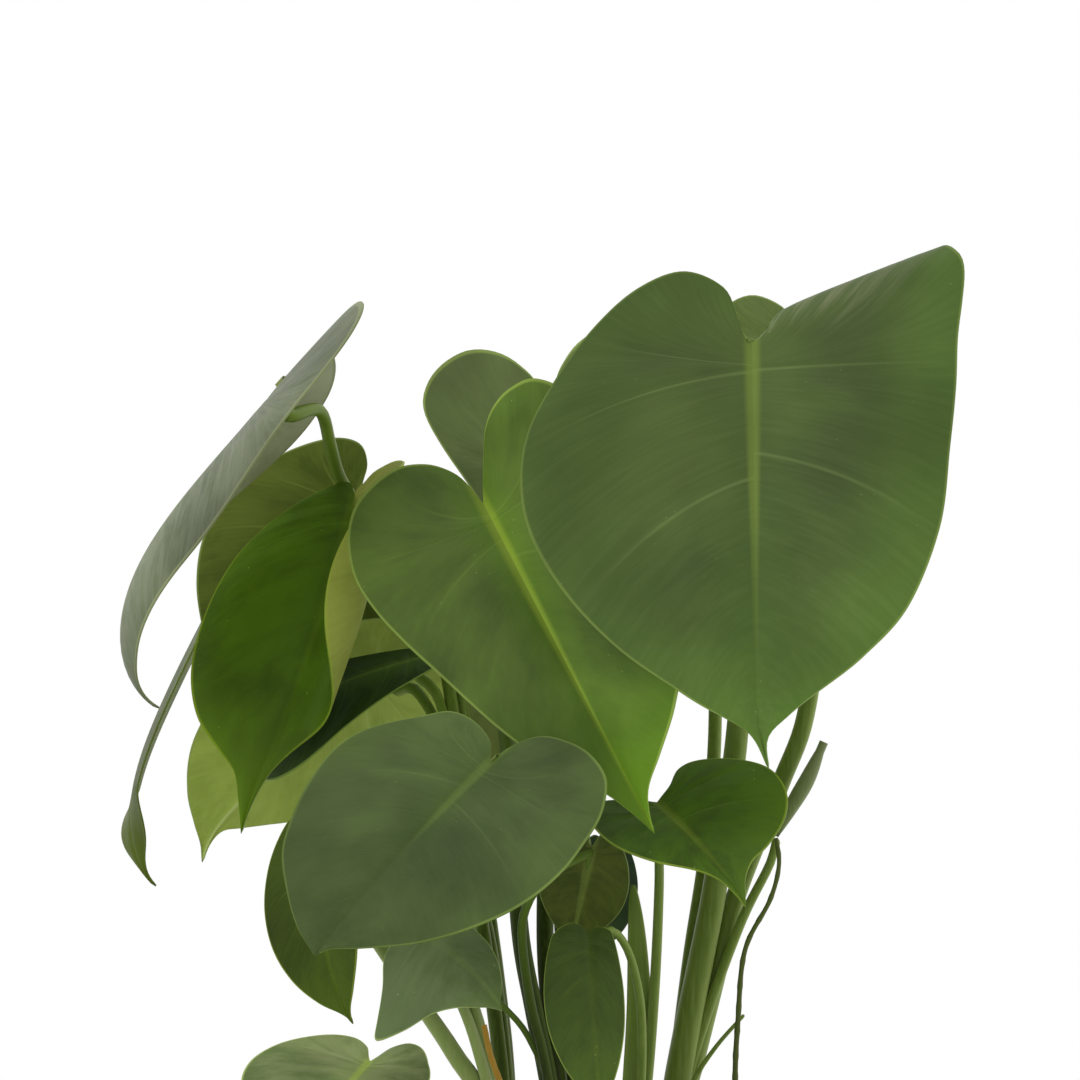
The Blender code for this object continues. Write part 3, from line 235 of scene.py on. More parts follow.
# What a leaf has unless its own entry says otherwise. Its sinus and tip are places in the
# photograph: pixels to the right and down, and millimetres behind the middle. Widths are in
# millimetres, angles in degrees, and pairs are the left and right half, seen on the upper side
# with the tip down. Droop bends the midrib away from the upper side, sweep bends it within the
# blade, fold and curl raise the halves, and a roll turns the sheet about a line: its half, a
# point on the line, the direction that it rolls towards, its turn, and the width of its bend.
# The approach is the stalk's last bend, in millimetres from its top: below it, ahead of it,
# and back along the stalk.
PLAIN_LEAF = dict(
    half=(40, 40), outline=(HEART, HEART), lobe=(1, 1), droop=20, droop_power=1.3, sweep=0, twist=0,
    twist_span=(0, 1), tip_curl=0, tip_sweep=0, fold=(8, 8), curl=(0, 0), wave=0, waves=3, rolls=(),
    approach=(5, 3, 0))
LEAVES = dict(
    leaf_big_right=dict(
        sinus=(752, 342, -42), tip=(769, 770, -72), face=(-0.05, -1, 0.15), half=(72, 66),
        outline=(BIG_LEFT, BIG_RIGHT), droop=16, fold=(12, 10), curl=(-14, -8),
        rolls=((1, 8, -3.8, -110.5, -100, 13),), tip_sweep=14, wave=1.0, waves=2.5),
    leaf_behind_big=dict(
        sinus=(808, 334, 14), tip=(880, 600, 32), face=(0.2, 0.6, 0.8), half=(36, 56), lobe=(0.5, 1.05)),
    leaf_centre=dict(
        sinus=(483, 503, -18), tip=(655, 834, -56), face=(-0.18, -1, 0.35), half=(47, 48),
        outline=(CENTRE_LEFT, CENTRE_RIGHT), droop=18, fold=(10, 22), curl=(-10, 12)),
    leaf_low_front=dict(
        sinus=(490, 762, -62), tip=(315, 956, -92), face=(-0.1, -1, 0.75), half=(42, 42),
        outline=(FRONT_LEFT, FRONT_RIGHT), droop=16, fold=(6, 6), curl=(-14, -14)),
    leaf_back_centre=dict(
        sinus=(556, 448, 22), tip=(585, 650, 10), face=(-0.1, -1, 0.3), half=(41, 38),
        outline=(LONG_LOBED, LONG_LOBED), droop=12),
    leaf_far_left=dict(
        sinus=(277, 388, -16), tip=(159, 708, -24), face=(-0.92, 0, 0.38),
        outline=(FINGERED, FINGERED), lobe=(0.62, 1.02), droop=102, droop_power=3.6, fold=(-12, -8),
        curl=(-12, -16), twist=8, twist_span=(0, 0.5)),
    leaf_left_back=dict(
        sinus=(360, 494, 62), tip=(212, 688, 64), face=(-0.2, 1, 0.3), half=(40, 36), droop=10,
        fold=(3, 3), curl=(-10, -10)),
    leaf_left_curled=dict(
        sinus=(354, 492, 36), tip=(241, 834, 16), face=(0, -1, 0.1), half=(37, 45),
        outline=(CURLED_LEFT, CURLED_RIGHT), lobe=(1, 0.6), droop=14, sweep=-14, tip_sweep=14,
        fold=(-4, 5), curl=(-12, 166)),
    leaf_left_edge_on=dict(
        sinus=(236, 552, 94), tip=(156, 886, 88), face=(-1, -0.05, 0.3), half=(30, 25), droop=76,
        droop_power=4.5, fold=(-5, -5), twist=30, twist_span=(0.7, 0.9), approach=(2, 0, 3)),
    leaf_small_right=dict(
        sinus=(657, 802, -34), tip=(746, 907, -62), face=(0.1, -0.8, 0.8), half=(24, 33),
        outline=(SMALL_LEFT, SMALL_RIGHT), droop=24, fold=(2, 24), curl=(0, -10), tip_curl=10,
        approach=(2, 0, 3)),
    leaf_low_pale=dict(
        sinus=(395, 681, 62), tip=(202, 862, 68), face=(-0.2, 0.9, 0.6), half=(33, 37.5),
        outline=(PALE_LOWER, PALE_UPPER), sweep=-16, tip_sweep=-22, approach=(3.5, -2, 0)),
    leaf_middle_dark=dict(
        sinus=(418, 657, 34), tip=(238, 750, 43), face=(-0.1, -0.7, 0.7), half=(16, 25),
        outline=(SLOW_WIDE, SLOW_WIDE), droop=42, fold=(-10, 0), approach=(5, 0, 0)),
    leaf_left_hanging=dict(
        sinus=(318, 840, -18), tip=(353, 1024, -30), face=(-0.5, -0.85, 0.2), half=(19, 15), sweep=22),
    leaf_low_grey=dict(
        sinus=(418, 930, -19), tip=(502, 1011, -26), face=(-0.1, -0.9, 0.4), half=(37, 12),
        outline=(CORNERED, HEART), fold=(5, -20), sweep=-24),
    leaf_bottom_left=dict(
        sinus=(370, 1061, -42), tip=(296, 1168, -78), face=(-0.15, -0.55, 0.9), half=(33, 28),
        lobe=(1, 1.3), approach=(2, 0, 3)),
    leaf_front_narrow=dict(
        sinus=(588, 934, -50), tip=(602, 1120, -60), face=(-0.1, -1, 0.1), half=(15, 10),
        lobe=(0.4, 0.2), droop=10, approach=(2, 0, 3)),
    leaf_young_brown=dict(
        sinus=(592, 846, -26), tip=(570, 950, -20), face=(0.3, 0.9, 0.3), half=(14, 16), droop=10,
        approach=(2, 0, 3)),
    leaf_young_dark=dict(
        sinus=(605, 852, -6), tip=(600, 957, -2), face=(0.3, -0.9, 0.3), half=(12, 11), droop=10),
    leaf_rear_high=dict(sinus=(698, 536, 66), tip=(754, 726, 98), face=(0.1, 1, 0.4), half=(33, 34)),
    leaf_rear_low=dict(sinus=(560, 620, 62), tip=(545, 850, 98), face=(0.05, 1, 0.4), half=(31, 31)),
)

# The crowns, each with its place and radius in the soil in millimetres, and the stalks that
# rise from it: the leaf that each carries, its radii at the foot and at the top in
# millimetres, and the places in the photograph that it passes on its way down.
CROWNS = dict(
    stems_left=dict(foot=(-24, -16), radius=8.5, stalks=(
        ("leaf_left_hanging", 4.2, 1.8, (
            (350, 900, -8), (390, 960, -8), (425, 1010, -8), (455, 1055, -9), (485, 1110, -12))),
        ("leaf_low_grey", 2.6, 1.5, (
            (440, 962, -11), (462, 1005, -12), (478, 1050, -13), (494, 1120, -15))),
        ("leaf_low_front", 2.8, 1.8, (
            (478, 838, -40), (468, 878, -23), (465, 905, -10), (468, 985, -8), (482, 1040, -9),
            (494, 1110, -12))),
        ("leaf_bottom_left", 2.4, 1.5, (
            (400, 1085, -30), (440, 1140, -22), (476, 1185, -17))),
    )),
    stems_back_left=dict(foot=(-22, 10), radius=8.5, stalks=(
        ("leaf_far_left", 2.6, 2.0, (
            (319, 410, 5), (330, 444, 20), (337, 470, 33), (350, 495, 47), (385, 545, 50),
            (425, 600, 48), (452, 660, 45), (465, 760, 36), (475, 870, 26), (492, 960, 17),
            (506, 1080, 11))),
        ("leaf_left_curled", 2.8, 1.9, (
            (368, 520, 44), (402, 575, 46), (438, 640, 46), (457, 740, 33), (470, 850, 20),
            (487, 960, 13), (502, 1080, 9))),
        ("leaf_left_back", 2.6, 1.9, (
            (378, 530, 55), (404, 570, 56), (444, 640, 53), (472, 760, 42), (485, 880, 29),
            (498, 980, 19), (508, 1080, 13))),
        ("leaf_left_edge_on", 2.4, 1.6, (
            (262, 580, 88), (320, 640, 95), (390, 720, 99), (440, 820, 76), (475, 920, 46),
            (495, 1010, 25), (508, 1100, 15))),
        ("leaf_low_pale", 2.4, 1.7, (
            (411, 687, 55), (425, 702, 51), (441, 735, 47), (458, 800, 39), (480, 900, 27),
            (497, 1000, 18), (508, 1090, 12))),
        ("leaf_middle_dark", 2.4, 1.6, (
            (440, 702, 37), (456, 790, 30), (474, 900, 18), (494, 1010, 11))),
    )),
    stems_middle=dict(foot=(-3, -2), radius=8.5, stalks=(
        ("leaf_centre", 3.4, 2.4, (
            (492, 600, 6), (503, 700, 10), (512, 800, 8), (520, 930, 2), (534, 1010, 0),
            (550, 1090, -2))),
        ("leaf_back_centre", 3.4, 2.2, (
            (562, 560, 36), (556, 680, 34), (548, 800, 24), (545, 930, 10), (550, 1010, 4),
            (560, 1100, 0))),
        ("leaf_young_brown", 2.0, 1.3, (
            (570, 862, -34), (545, 880, -40), (528, 903, -38), (522, 935, -30), (530, 1000, -16),
            (548, 1080, -8))),
        ("leaf_young_dark", 2.0, 1.2, (
            (592, 920, -2), (582, 1000, -2), (575, 1090, -2))),
        ("leaf_rear_low", 2.6, 1.8, (
            (560, 740, 44), (556, 850, 30), (562, 950, 14), (567, 1080, 4))),
    )),
    stems_front=dict(foot=(15, -17), radius=7.5, stalks=(
        ("leaf_front_narrow", 2.0, 1.2, (
            (608, 930, -42), (620, 937, -38), (632, 962, -33), (641, 1010, -27), (641, 1080, -21),
            (634, 1160, -18))),
        ("leaf_small_right", 2.2, 1.4, (
            (659, 850, -23), (659, 890, -21), (655, 980, -18), (647, 1080, -16), (636, 1160, -17))),
    )),
    stems_right=dict(foot=(27, 8), radius=9.5, stalks=(
        ("leaf_big_right", 5.2, 2.8, (
            (752, 420, -20), (748, 560, -8), (737, 735, 0), (716, 880, 4), (703, 950, 6),
            (685, 1040, 7), (674, 1110, 8))),
        ("leaf_behind_big", 4.0, 2.4, (
            (815, 480, 2), (817, 620, 4), (805, 718, 6), (780, 785, 8), (738, 890, 10), (722, 950, 11),
            (694, 1060, 10), (678, 1120, 9))),
        ("leaf_rear_high", 3.0, 2.0, (
            (712, 630, 44), (715, 730, 32), (706, 850, 22), (690, 960, 15), (676, 1080, 11))),
    )),
)

# Thin pieces among the stalks: radii at the tip and the foot, and places. A spur ends in the
# air and is fused to its crown. The last one carries the rolled leaf.
SPURS = dict(
    stems_middle=(
        (0.9, 1.6, (
            (473, 981, -20), (505, 1008, -14), (530, 1040, -9), (552, 1100, -5))),
    ),
    stems_right=(
        (0.6, 1.6, (
            (743, 1016, -2), (715, 1048, 0), (692, 1085, 3), (676, 1140, 6))),
        (1.4, 2.6, (
            (776, 842, 0), (769, 866, 0), (742, 920, 4), (708, 1010, 7), (686, 1090, 8))),
    ),
)
# The sheath's width and thickness and the other pieces' radii, all in millimetres, with the
# places that each passes, and the foot of each one that stands in the soil by itself
SHEATH = (4.6, 0.9, (
    (633, 885, -14), (637, 940, -14), (639, 1010, -15), (636, 1090, -16)))
ROLLED_LEAF = (2.6, (
    (776, 836, 0), (792, 806, 0), (808, 778, 0), (824, 742, 0)))
AERIAL_ROOT = (0.9, (
    (776, 838, -9), (779, 865, -9), (770, 900, -10), (745, 950, -9), (738, 1020, -7), (735, 1090, -6)),
    (50, -6))
DRY_STALK = (1.2, (
    (484, 1025, -19), (492, 1060, -20), (514, 1120, -21)),
    (-10, -22))


# Curves and numbers

def seen(right, down, depth):
    """The place that the photograph shows at a pixel, a depth in millimetres behind the middle."""
    spread = SCALE * (depth * MM - EYE[1]) / -EYE[1]
    return np.array([EYE[0] + (right - PHOTO_CENTRE) * spread, depth * MM,
                     EYE[2] + (PHOTO_CENTRE - down) * spread])


def rising(places):
    """A route from the photograph, the other way round: from the foot up."""
    return [seen(*place) for place in places[::-1]]


def above(foot, height):
    """The place at a height over a crown's foot."""
    return np.array([foot[0] * MM, foot[1] * MM, height])


def around(radius, angle):
    """How far right and back a place lies, at a distance and an angle from the pot's axis."""
    return radius * math.cos(angle), radius * math.sin(angle)


def angles(count):
    return [2 * math.pi * k / count for k in range(count)]


def unit(vector):
    vector = np.asarray(vector, float)
    return vector / np.linalg.norm(vector)


def ease(x):
    x = np.clip(x, 0, 1)
    return x * x * (3 - 2 * x)


def through(points, steps):
    """A smooth curve through points, with so many steps between each two."""
    points = np.asarray(points, float)
    before, beyond = 2 * points[0] - points[1], 2 * points[-1] - points[-2]
    points = np.vstack([before, points, beyond])
    curve = []
    for a, b, c, d in zip(points, points[1:], points[2:], points[3:]):
        for step in range(steps):
            part = step / steps
            curve.append(0.5 * (2 * b + (c - a) * part + (2 * a - 5 * b + 4 * c - d) * part * part
                                + (3 * b - a - 3 * c + d) * part ** 3))
    curve.append(points[-2])
    return np.array(curve)


def evenly(points, count):
    """The same curve with so many points at even distances."""
    steps = np.linalg.norm(np.diff(points, axis=0), axis=1)
    along = np.concatenate([[0], np.cumsum(steps)])
    wanted = np.linspace(0, along[-1], count)
    return np.column_stack([np.interp(wanted, along, column) for column in points.T])


def turned(a, b, degrees):
    """Two axes square to each other, the first turned towards the second."""
    angle = math.radians(degrees)
    return (a * math.cos(angle) + b * math.sin(angle), b * math.cos(angle) - a * math.sin(angle))


# Blades

def leaf_of(name):
    """What is known of a leaf, with its sinus and tip as places in the room."""
    leaf = PLAIN_LEAF | LEAVES[name]
    return leaf | dict(sinus=seen(*leaf["sinus"]), tip=seen(*leaf["tip"]))


def midrib(leaf):
    """Points, headings and upward axes along the midrib, and its length."""
    def bends(share):
        end = ease((share - TIP_START) / (1 - TIP_START))
        start, stop = leaf["twist_span"]
        return np.array([leaf["droop"] * share ** leaf["droop_power"] + leaf["tip_curl"] * end,
                         leaf["sweep"] * share ** SWEEP_POWER + leaf["tip_sweep"] * end,
                         leaf["twist"] * ease((share - start) / (stop - start))])

    heading, up = np.array([1.0, 0, 0]), np.array([0, 0, 1.0])
    place = np.zeros(3)
    places, headings, ups = [place], [heading], [up]
    for i in range(RIB_STATIONS):
        droop, sweep, twist = bends((i + 1) / RIB_STATIONS) - bends(i / RIB_STATIONS)
        heading, up = turned(heading, up, -droop)
        side = np.cross(up, heading)
        heading, side = turned(heading, side, sweep)
        up, side = turned(up, side, twist)
        place = place + heading / RIB_STATIONS
        places.append(place)
        headings.append(heading)
        ups.append(up)
    chord, up = unit(places[-1]), ups[0]
    own = frame_of(chord, up)
    reach = leaf["tip"] - leaf["sinus"]
    turn = own.T @ frame_of(unit(reach), np.array(leaf["face"], float))
    length = np.linalg.norm(reach) / np.linalg.norm(places[-1])
    return (leaf["sinus"] + np.array(places) @ turn * length, np.array(headings) @ turn,
            np.array(ups) @ turn, length)


def frame_of(along, up):
    """Three square axes: one along, and one as near to up as it can be."""
    up = unit(up - (up @ along) * along)
    return np.array([along, np.cross(up, along), up])


def margin(leaf, side, rows, length):
    """Distances out from the midrib, and shares along it, of a half blade's edge."""
    width = leaf["half"][side] * MM
    shape = [(out * width, (along * leaf["lobe"][side] if along < 0 else along) * length)
             for out, along in through(((0, 0), *leaf["outline"][side], (0, 1)), EDGE_STEPS)]
    edge = evenly(np.array(shape), rows + 1)
    out, along = np.maximum(edge[:, 0], TAIL), edge[:, 1] / length
    out[0] = out[-1] = along[0] = 0
    along[-1] = 1
    return out, along


def flat_half(leaf, side, rows, columns, length):
    """A half blade laid flat: rows run out like side veins, from the midrib to the margin."""
    margins = [margin(leaf, each, rows, length) for each in (0, 1)]
    out, along = margins[side]
    row = np.linspace(0, 1, rows + 1)
    mean = (margins[0][1] + margins[1][1]) / 2
    blade_share = np.clip((mean - BLADE_START) / (1 - BLADE_START), 0, 1)
    root = LOBE_ROOTS * ease(row / LOBE_ROWS) + (1 - LOBE_ROOTS) * blade_share ** ROOT_POWER
    width = (margins[0][0] + margins[1][0]) / (sum(leaf["half"]) * MM)
    tail = (1 - ease(width / TAIL_WIDTH)) * ease((mean - TAIL_START) / TAIL_EASE)
    root = np.maximum.accumulate(root * (1 - tail) + mean * tail)
    root[-1] = 1
    column = np.asarray(columns)[None, :]
    out, along, root = out[:, None], along[:, None], root[:, None]
    elbow = root + ROW_ELBOW * np.maximum(along - root, 0)
    across = ROW_LEAD * column * (1 - column) * out + column * column * out
    down = ((1 - column) ** 2 * root + 2 * column * (1 - column) * elbow
            + column * column * along)
    return across, down * length, row[:, None], column


def roll(leaf, side, across, down):
    """The flat places after the sheet is rolled, and how far it is raised."""
    sign = (-1, 1)[side]
    right, lift = sign * across, np.zeros_like(across)
    moved_right, moved_down = right.copy(), down.copy()
    for half, start_right, start_down, towards, angle, width in leaf["rolls"]:
        if half != side:
            continue
        axis = (math.cos(math.radians(towards)), math.sin(math.radians(towards)))
        past = (right - start_right * MM) * axis[0] + (down - start_down * MM) * axis[1]
        past = np.maximum(past, 0)
        bend = math.radians(angle) / (width * MM)
        inside = np.minimum(past, width * MM)
        beyond = past - inside
        shift = np.sin(bend * inside) / bend + beyond * math.cos(math.radians(angle)) - past
        moved_right += shift * axis[0]
        moved_down += shift * axis[1]
        lift += (1 - np.cos(bend * inside)) / bend + beyond * math.sin(math.radians(angle))
    return sign * moved_right, moved_down, lift


def half_blade(leaf, side, rows, columns):
    """Places of a half blade's middle sheet, a grid of rows by columns."""
    places, headings, ups, length = midrib(leaf)
    flat_across, flat_down, row, column = flat_half(leaf, side, rows, columns, length)
    flat_share = flat_down / length
    across, down, lift = roll(leaf, side, flat_across, flat_down)
    share = down / length
    index = np.clip((share * RIB_STATIONS).astype(int), 0, RIB_STATIONS - 1)
    part = np.clip(share * RIB_STATIONS - index, 0, 1)[..., None]
    sides = np.cross(ups, headings)
    place, heading, up, out = [axis[index] * (1 - part) + axis[index + 1] * part
                               for axis in (places, headings, ups, sides)]
    place = place + heading * np.minimum(down, 0)[..., None]
    fold = math.radians(leaf["fold"][side])
    bow = math.radians(leaf["curl"][side] or LEAST_CURL) / (leaf["half"][side] * MM)
    angle = fold + bow * across
    reach = (np.sin(angle) - math.sin(fold)) / bow
    rise = (math.cos(fold) - np.cos(angle)) / bow
    ripple = leaf["wave"] * MM * np.sin(2 * np.pi * leaf["waves"] * row) * column ** 2
    lift = lift + ripple * np.sqrt(np.sin(np.pi * np.clip(row, 0, 1)))
    reach = reach - lift * np.sin(angle)
    rise = rise + lift * np.cos(angle)
    grid = place + (-1, 1)[side] * out * reach[..., None] + up * rise[..., None]
    return grid, flat_across, flat_share, row, column


# Finer blades

def mesh_object(name, points, faces, smooth_angle=40):
    mesh = bpy.data.meshes.new(name)
    mesh.from_pydata(np.asarray(points).tolist(), [], faces)
    mesh.validate()
    mesh.shade_smooth()
    mesh.set_sharp_from_angle(angle=math.radians(smooth_angle))
    piece = bpy.data.objects.new(name, mesh)
    bpy.context.scene.collection.objects.link(piece)
    return piece


def add_map(piece, name, values):
    """A UV map from one pair of values for each point."""
    layer = piece.data.uv_layers.new(name=name)
    corners = np.zeros(len(piece.data.loops), dtype=int)
    piece.data.loops.foreach_get("vertex_index", corners)
    layer.data.foreach_set("uv", np.asarray(values, float)[corners].ravel())


def grid_index(rows, columns):
    """Point numbers of both halves: they share the midrib, and each row closes at the ends."""
    left = np.zeros((rows + 1, columns + 1), int)
    left[1:-1] = 1 + np.arange((rows - 1) * (columns + 1)).reshape(rows - 1, columns + 1)
    last = 1 + (rows - 1) * (columns + 1)
    left[-1] = last
    right = left.copy()
    right[1:-1, 1:] = last + 1 + np.arange((rows - 1) * columns).reshape(rows - 1, columns)
    return (left, right), last + 1 + (rows - 1) * columns


def sheet_faces(index):
    """The faces of both halves, each with its corners in the same turn."""
    sheet = []
    for spots, turn in zip(index, (-1, 1)):
        for before, after in zip(spots, spots[1:]):
            for j in range(len(before) - 1):
                ring = [before[j], after[j], after[j + 1], before[j + 1]][::turn]
                sheet.append([int(c) for k, c in enumerate(ring) if c != ring[k - 1]])
    return sheet


def sheet_normals(points, sheet):
    normals = np.zeros_like(points)
    for ring in sheet:
        normals[ring] += np.cross(points[ring[1]] - points[ring[0]],
                                  points[ring[-1]] - points[ring[0]])
    return normals / np.maximum(np.linalg.norm(normals, axis=1), 1e-12)[:, None]


def swelling(leaf, side, row, column):
    """How far a half blade is raised between its side veins."""
    gap = np.min([np.abs(row - vein) for vein in leaf["vein_rows"][side]], axis=0)
    along, over = QUILT_POWERS
    start, length = QUILT_NOTCH
    return (leaf["quilt"] * MM * ease(gap / QUILT_REACH) ** along
            * np.sin(np.pi * np.clip(column, QUILT_EDGE, 1)) ** over
            * ease((row - start) / length))


def blade_piece(name, leaf, rows, columns):
    """A blade with veins in relief, its thickness, and maps that its material draws on."""
    index, count = grid_index(rows, columns)
    points, lie, place = np.zeros((count, 3)), np.zeros((count, 2)), np.zeros((count, 2))
    quilt, rib = np.zeros(count), np.zeros(count)
    for side in (1, 0):
        grid, across, share, row, column = half_blade(
            leaf, side, rows, np.linspace(0, 1, columns + 1) ** COLUMN_POWER)
        spot = index[side].ravel()
        points[spot] = grid.reshape(-1, 3)
        lie[spot] = np.column_stack([np.broadcast_to(each, across.shape).ravel()
                                     for each in ((-1, 1)[side] * column, row)])
        place[spot] = np.column_stack([across.ravel() / MAP_UNIT, share.ravel()])
        quilt[spot] = swelling(leaf, side, row, column).ravel()
        share = np.clip(share, 0, 1)
        wide = (RIB_WIDTHS[0] + RIB_WIDTHS[1] * (1 - share)) * MM
        rib[spot] = (np.exp(-(across / wide) ** 2) * (1 - share * RIB_THINNING)).ravel()
    sheet = sheet_faces(index)
    normals = sheet_normals(points, sheet)
    top = points + normals * (BLADE / 2 + (quilt - GROOVE * rib))[:, None]
    bottom = points + normals * (quilt - BLADE / 2 - RIB * rib)[:, None]
    faces = [tuple(ring) for ring in sheet]
    faces += [tuple(c + count for c in ring[::-1]) for ring in sheet]
    rim = [int(c) for c in (*index[0][:, columns], *index[1][rows - 1:0:-1, columns])]
    faces += [(a, b, b + count, a + count) for a, b in zip(rim, rim[1:] + rim[:1])]
    piece = mesh_object(name, np.vstack([top, bottom]), faces, BLADE_SMOOTH)
    under = np.zeros(len(piece.data.polygons), dtype=int)
    under[len(sheet):2 * len(sheet)] = 1
    piece.data.polygons.foreach_set("material_index", under)
    add_map(piece, "lie", np.vstack([lie, lie]))
    add_map(piece, "place", np.vstack([place, place]))
    return piece


# Finer stalks

def tube_parts(places, radii, sides, flat=1.0, facing=(0, 1, 0)):
    """Points, faces and map values of a closed tube: its share along, and the turn round it."""
    places = np.asarray(places, float)
    headings = np.gradient(places, axis=0)
    headings /= np.linalg.norm(headings, axis=1)[:, None]
    side = np.cross(headings[0], facing)
    turns = 2 * np.pi * np.arange(sides) / sides
    points, values = [], []
    lengths = np.concatenate([[0], np.cumsum(np.linalg.norm(np.diff(places, axis=0), axis=1))])
    for place, heading, radius, length in zip(places, headings, radii, lengths):
        side = unit(side - (side @ heading) * heading)
        other = np.cross(heading, side)
        for turn in turns:
            points.append(place + radius * (math.cos(turn) * side + flat * math.sin(turn) * other))
            values.append((length / lengths[-1], 0.5 + 0.5 * math.sin(turn)))
    rings = len(places)
    faces = []
    for i in range(rings - 1):
        for k in range(sides):
            a, b = i * sides + k, i * sides + (k + 1) % sides
            faces.append((a, b, b + sides, a + sides))
    faces.append(tuple(range(sides))[::-1])
    faces.append(tuple(range((rings - 1) * sides, rings * sides)))
    return points, faces, values


def gather(name, parts, smooth_angle=50):
    """One piece from several parts."""
    points, faces, values = [], [], []
    for part_points, part_faces, part_values in parts:
        start = len(points)
        points += list(part_points)
        values += list(part_values)
        faces += [tuple(c + start for c in face) for face in part_faces]
    piece = mesh_object(name, points, faces, smooth_angle)
    add_map(piece, "place", values)
    return piece


def stalk_parts(foot, places, foot_radius, top_radius, ending=()):
    curve = through([above(foot, SOIL_LEVEL - STALK_ROOT)] + places, CURVE_STEPS)
    length = np.linalg.norm(np.diff(curve, axis=0), axis=1).sum()
    curve = evenly(curve, max(LEAST_STATIONS, round(length / STALK_STEP) + 1))
    share = np.linspace(0, 1, len(curve))
    radii = (foot_radius + (top_radius - foot_radius) * share ** STALK_TAPER) * MM
    if ending:
        middle, reach, more = SWELLING
        radii = radii * (1 + more * np.exp(-((share - middle) * length / reach) ** 2))
    else:
        onward = unit(curve[-1] - curve[-2]) * top_radius * MM
        ending = [(curve[-1] + onward * ahead, radii[-1] * width) for ahead, width in BLUNT_END]
    curve = np.vstack([curve, [place for place, _ in ending]])
    radii = np.concatenate([radii, [radius for _, radius in ending]])
    return tube_parts(curve, radii, STALK_SIDES)


def leaf_stalk_parts(foot, name, foot_radius, top_radius, places):
    """A leaf's stalk, whose top runs on into the blade and its midrib."""
    leaf = leaf_of(name)
    _, headings, ups, _ = midrib(leaf)
    heading, up = headings[0], ups[0]
    radius = top_radius * MM
    room = radius + JOINT_GAP + CAD_BLADE / 2 + CAD_RIB
    top = leaf["sinus"] + heading * STALK_TOP - up * room
    places = rising(places)
    below, ahead, back = leaf["approach"]
    approach = top - up * below * MM + heading * ahead * MM + unit(places[-1] - top) * back * MM
    ending = [(leaf["sinus"] + heading * reach * MM - up * (radius * width + BLADE / 2),
               radius * width) for reach, width in STALK_ENDING]
    return stalk_parts(foot, places + [approach, top], foot_radius, top_radius, ending)


def crown_parts(foot, radius):
    """The short thick stem base, with the rings that old leaves leave."""
    outline = [(radius * share, height, 0) for share, height in CROWN_OUTLINE]
    curve = evenly(through(outline, CROWN_STEPS), CROWN_RINGS)
    places = [above(foot, SOIL_LEVEL + height) for _, height, _ in curve]
    depth, turns = CROWN_RIDGES
    radii = [max(out, LEAST_RADIUS) * (1 + depth * math.sin(height / MM * turns))
             for out, height, _ in curve]
    points, faces, values = tube_parts(places, radii, CROWN_SIDES)
    return points, faces, [(0.0, turn) for _, turn in values]


def sheath_parts(foot):
    width, thickness, places = SHEATH
    curve = evenly(through([above(foot, SOIL_LEVEL)] + rising(places), CURVE_STEPS), FINE_STEPS)
    share = np.linspace(0, 1, FINE_STEPS)
    radii = width * MM * np.sqrt(np.clip(SHEATH_END - share ** 3, 0, 1))
    return tube_parts(curve, radii, SHEATH_SIDES, thickness / width * SHEATH_FLAT, (0, -1, 0))


def rooted_parts(radius, places, foot, knots):
    """A thin piece that stands in the soil, with knots along it."""
    ground = [above(foot, SOIL_LEVEL - CROWN_DEPTH), above(foot, SOIL_LEVEL + ROOT_RISE)]
    curve = evenly(through(ground + rising(places), CURVE_STEPS), ROOT_STEPS)
    share = np.linspace(0, 1, ROOT_STEPS)
    wide, thinning = ROOT_TAPER
    knotted = 1 + knots * np.sin(share * KNOT_TURNS) ** KNOT_POWER
    return tube_parts(curve, radius * MM * (wide - thinning * share) * knotted, ROOT_SIDES)


def spindle_parts(radius, places):
    """The rolled leaf, thickest in its lower half and pointed at the top."""
    curve = evenly(through([seen(*place) for place in places], CURVE_STEPS), FINE_STEPS)
    share = np.linspace(0, 1, FINE_STEPS)
    wave = np.sin(np.pi * np.clip(share, *SPINDLE_SPAN) / SPINDLE_WAVE)
    radii = radius * MM * (SPINDLE_LEAST + (1 - SPINDLE_LEAST) * wave)
    return tube_parts(curve, radii, SPINDLE_SIDES)


# Materials

# Where a noise turns from one colour to the other
PATCHES = (0.38, 0.62)
THREADS = (0.35, 0.7)
UNDER_CLOUD = 45
UNDER_GRAIN = 0.55
MARGIN_EASE = 0.012
BLADE_BUMP = 0.25 * MM


def linear(red, green, blue):
    """A colour of the photograph's, in the light that the shader counts in."""
    def one(value):
        value = value / 255
        return value / 12.92 if value <= 0.04045 else ((value + 0.055) / 1.055) ** 2.4
    return (one(red), one(green), one(blue), 1)


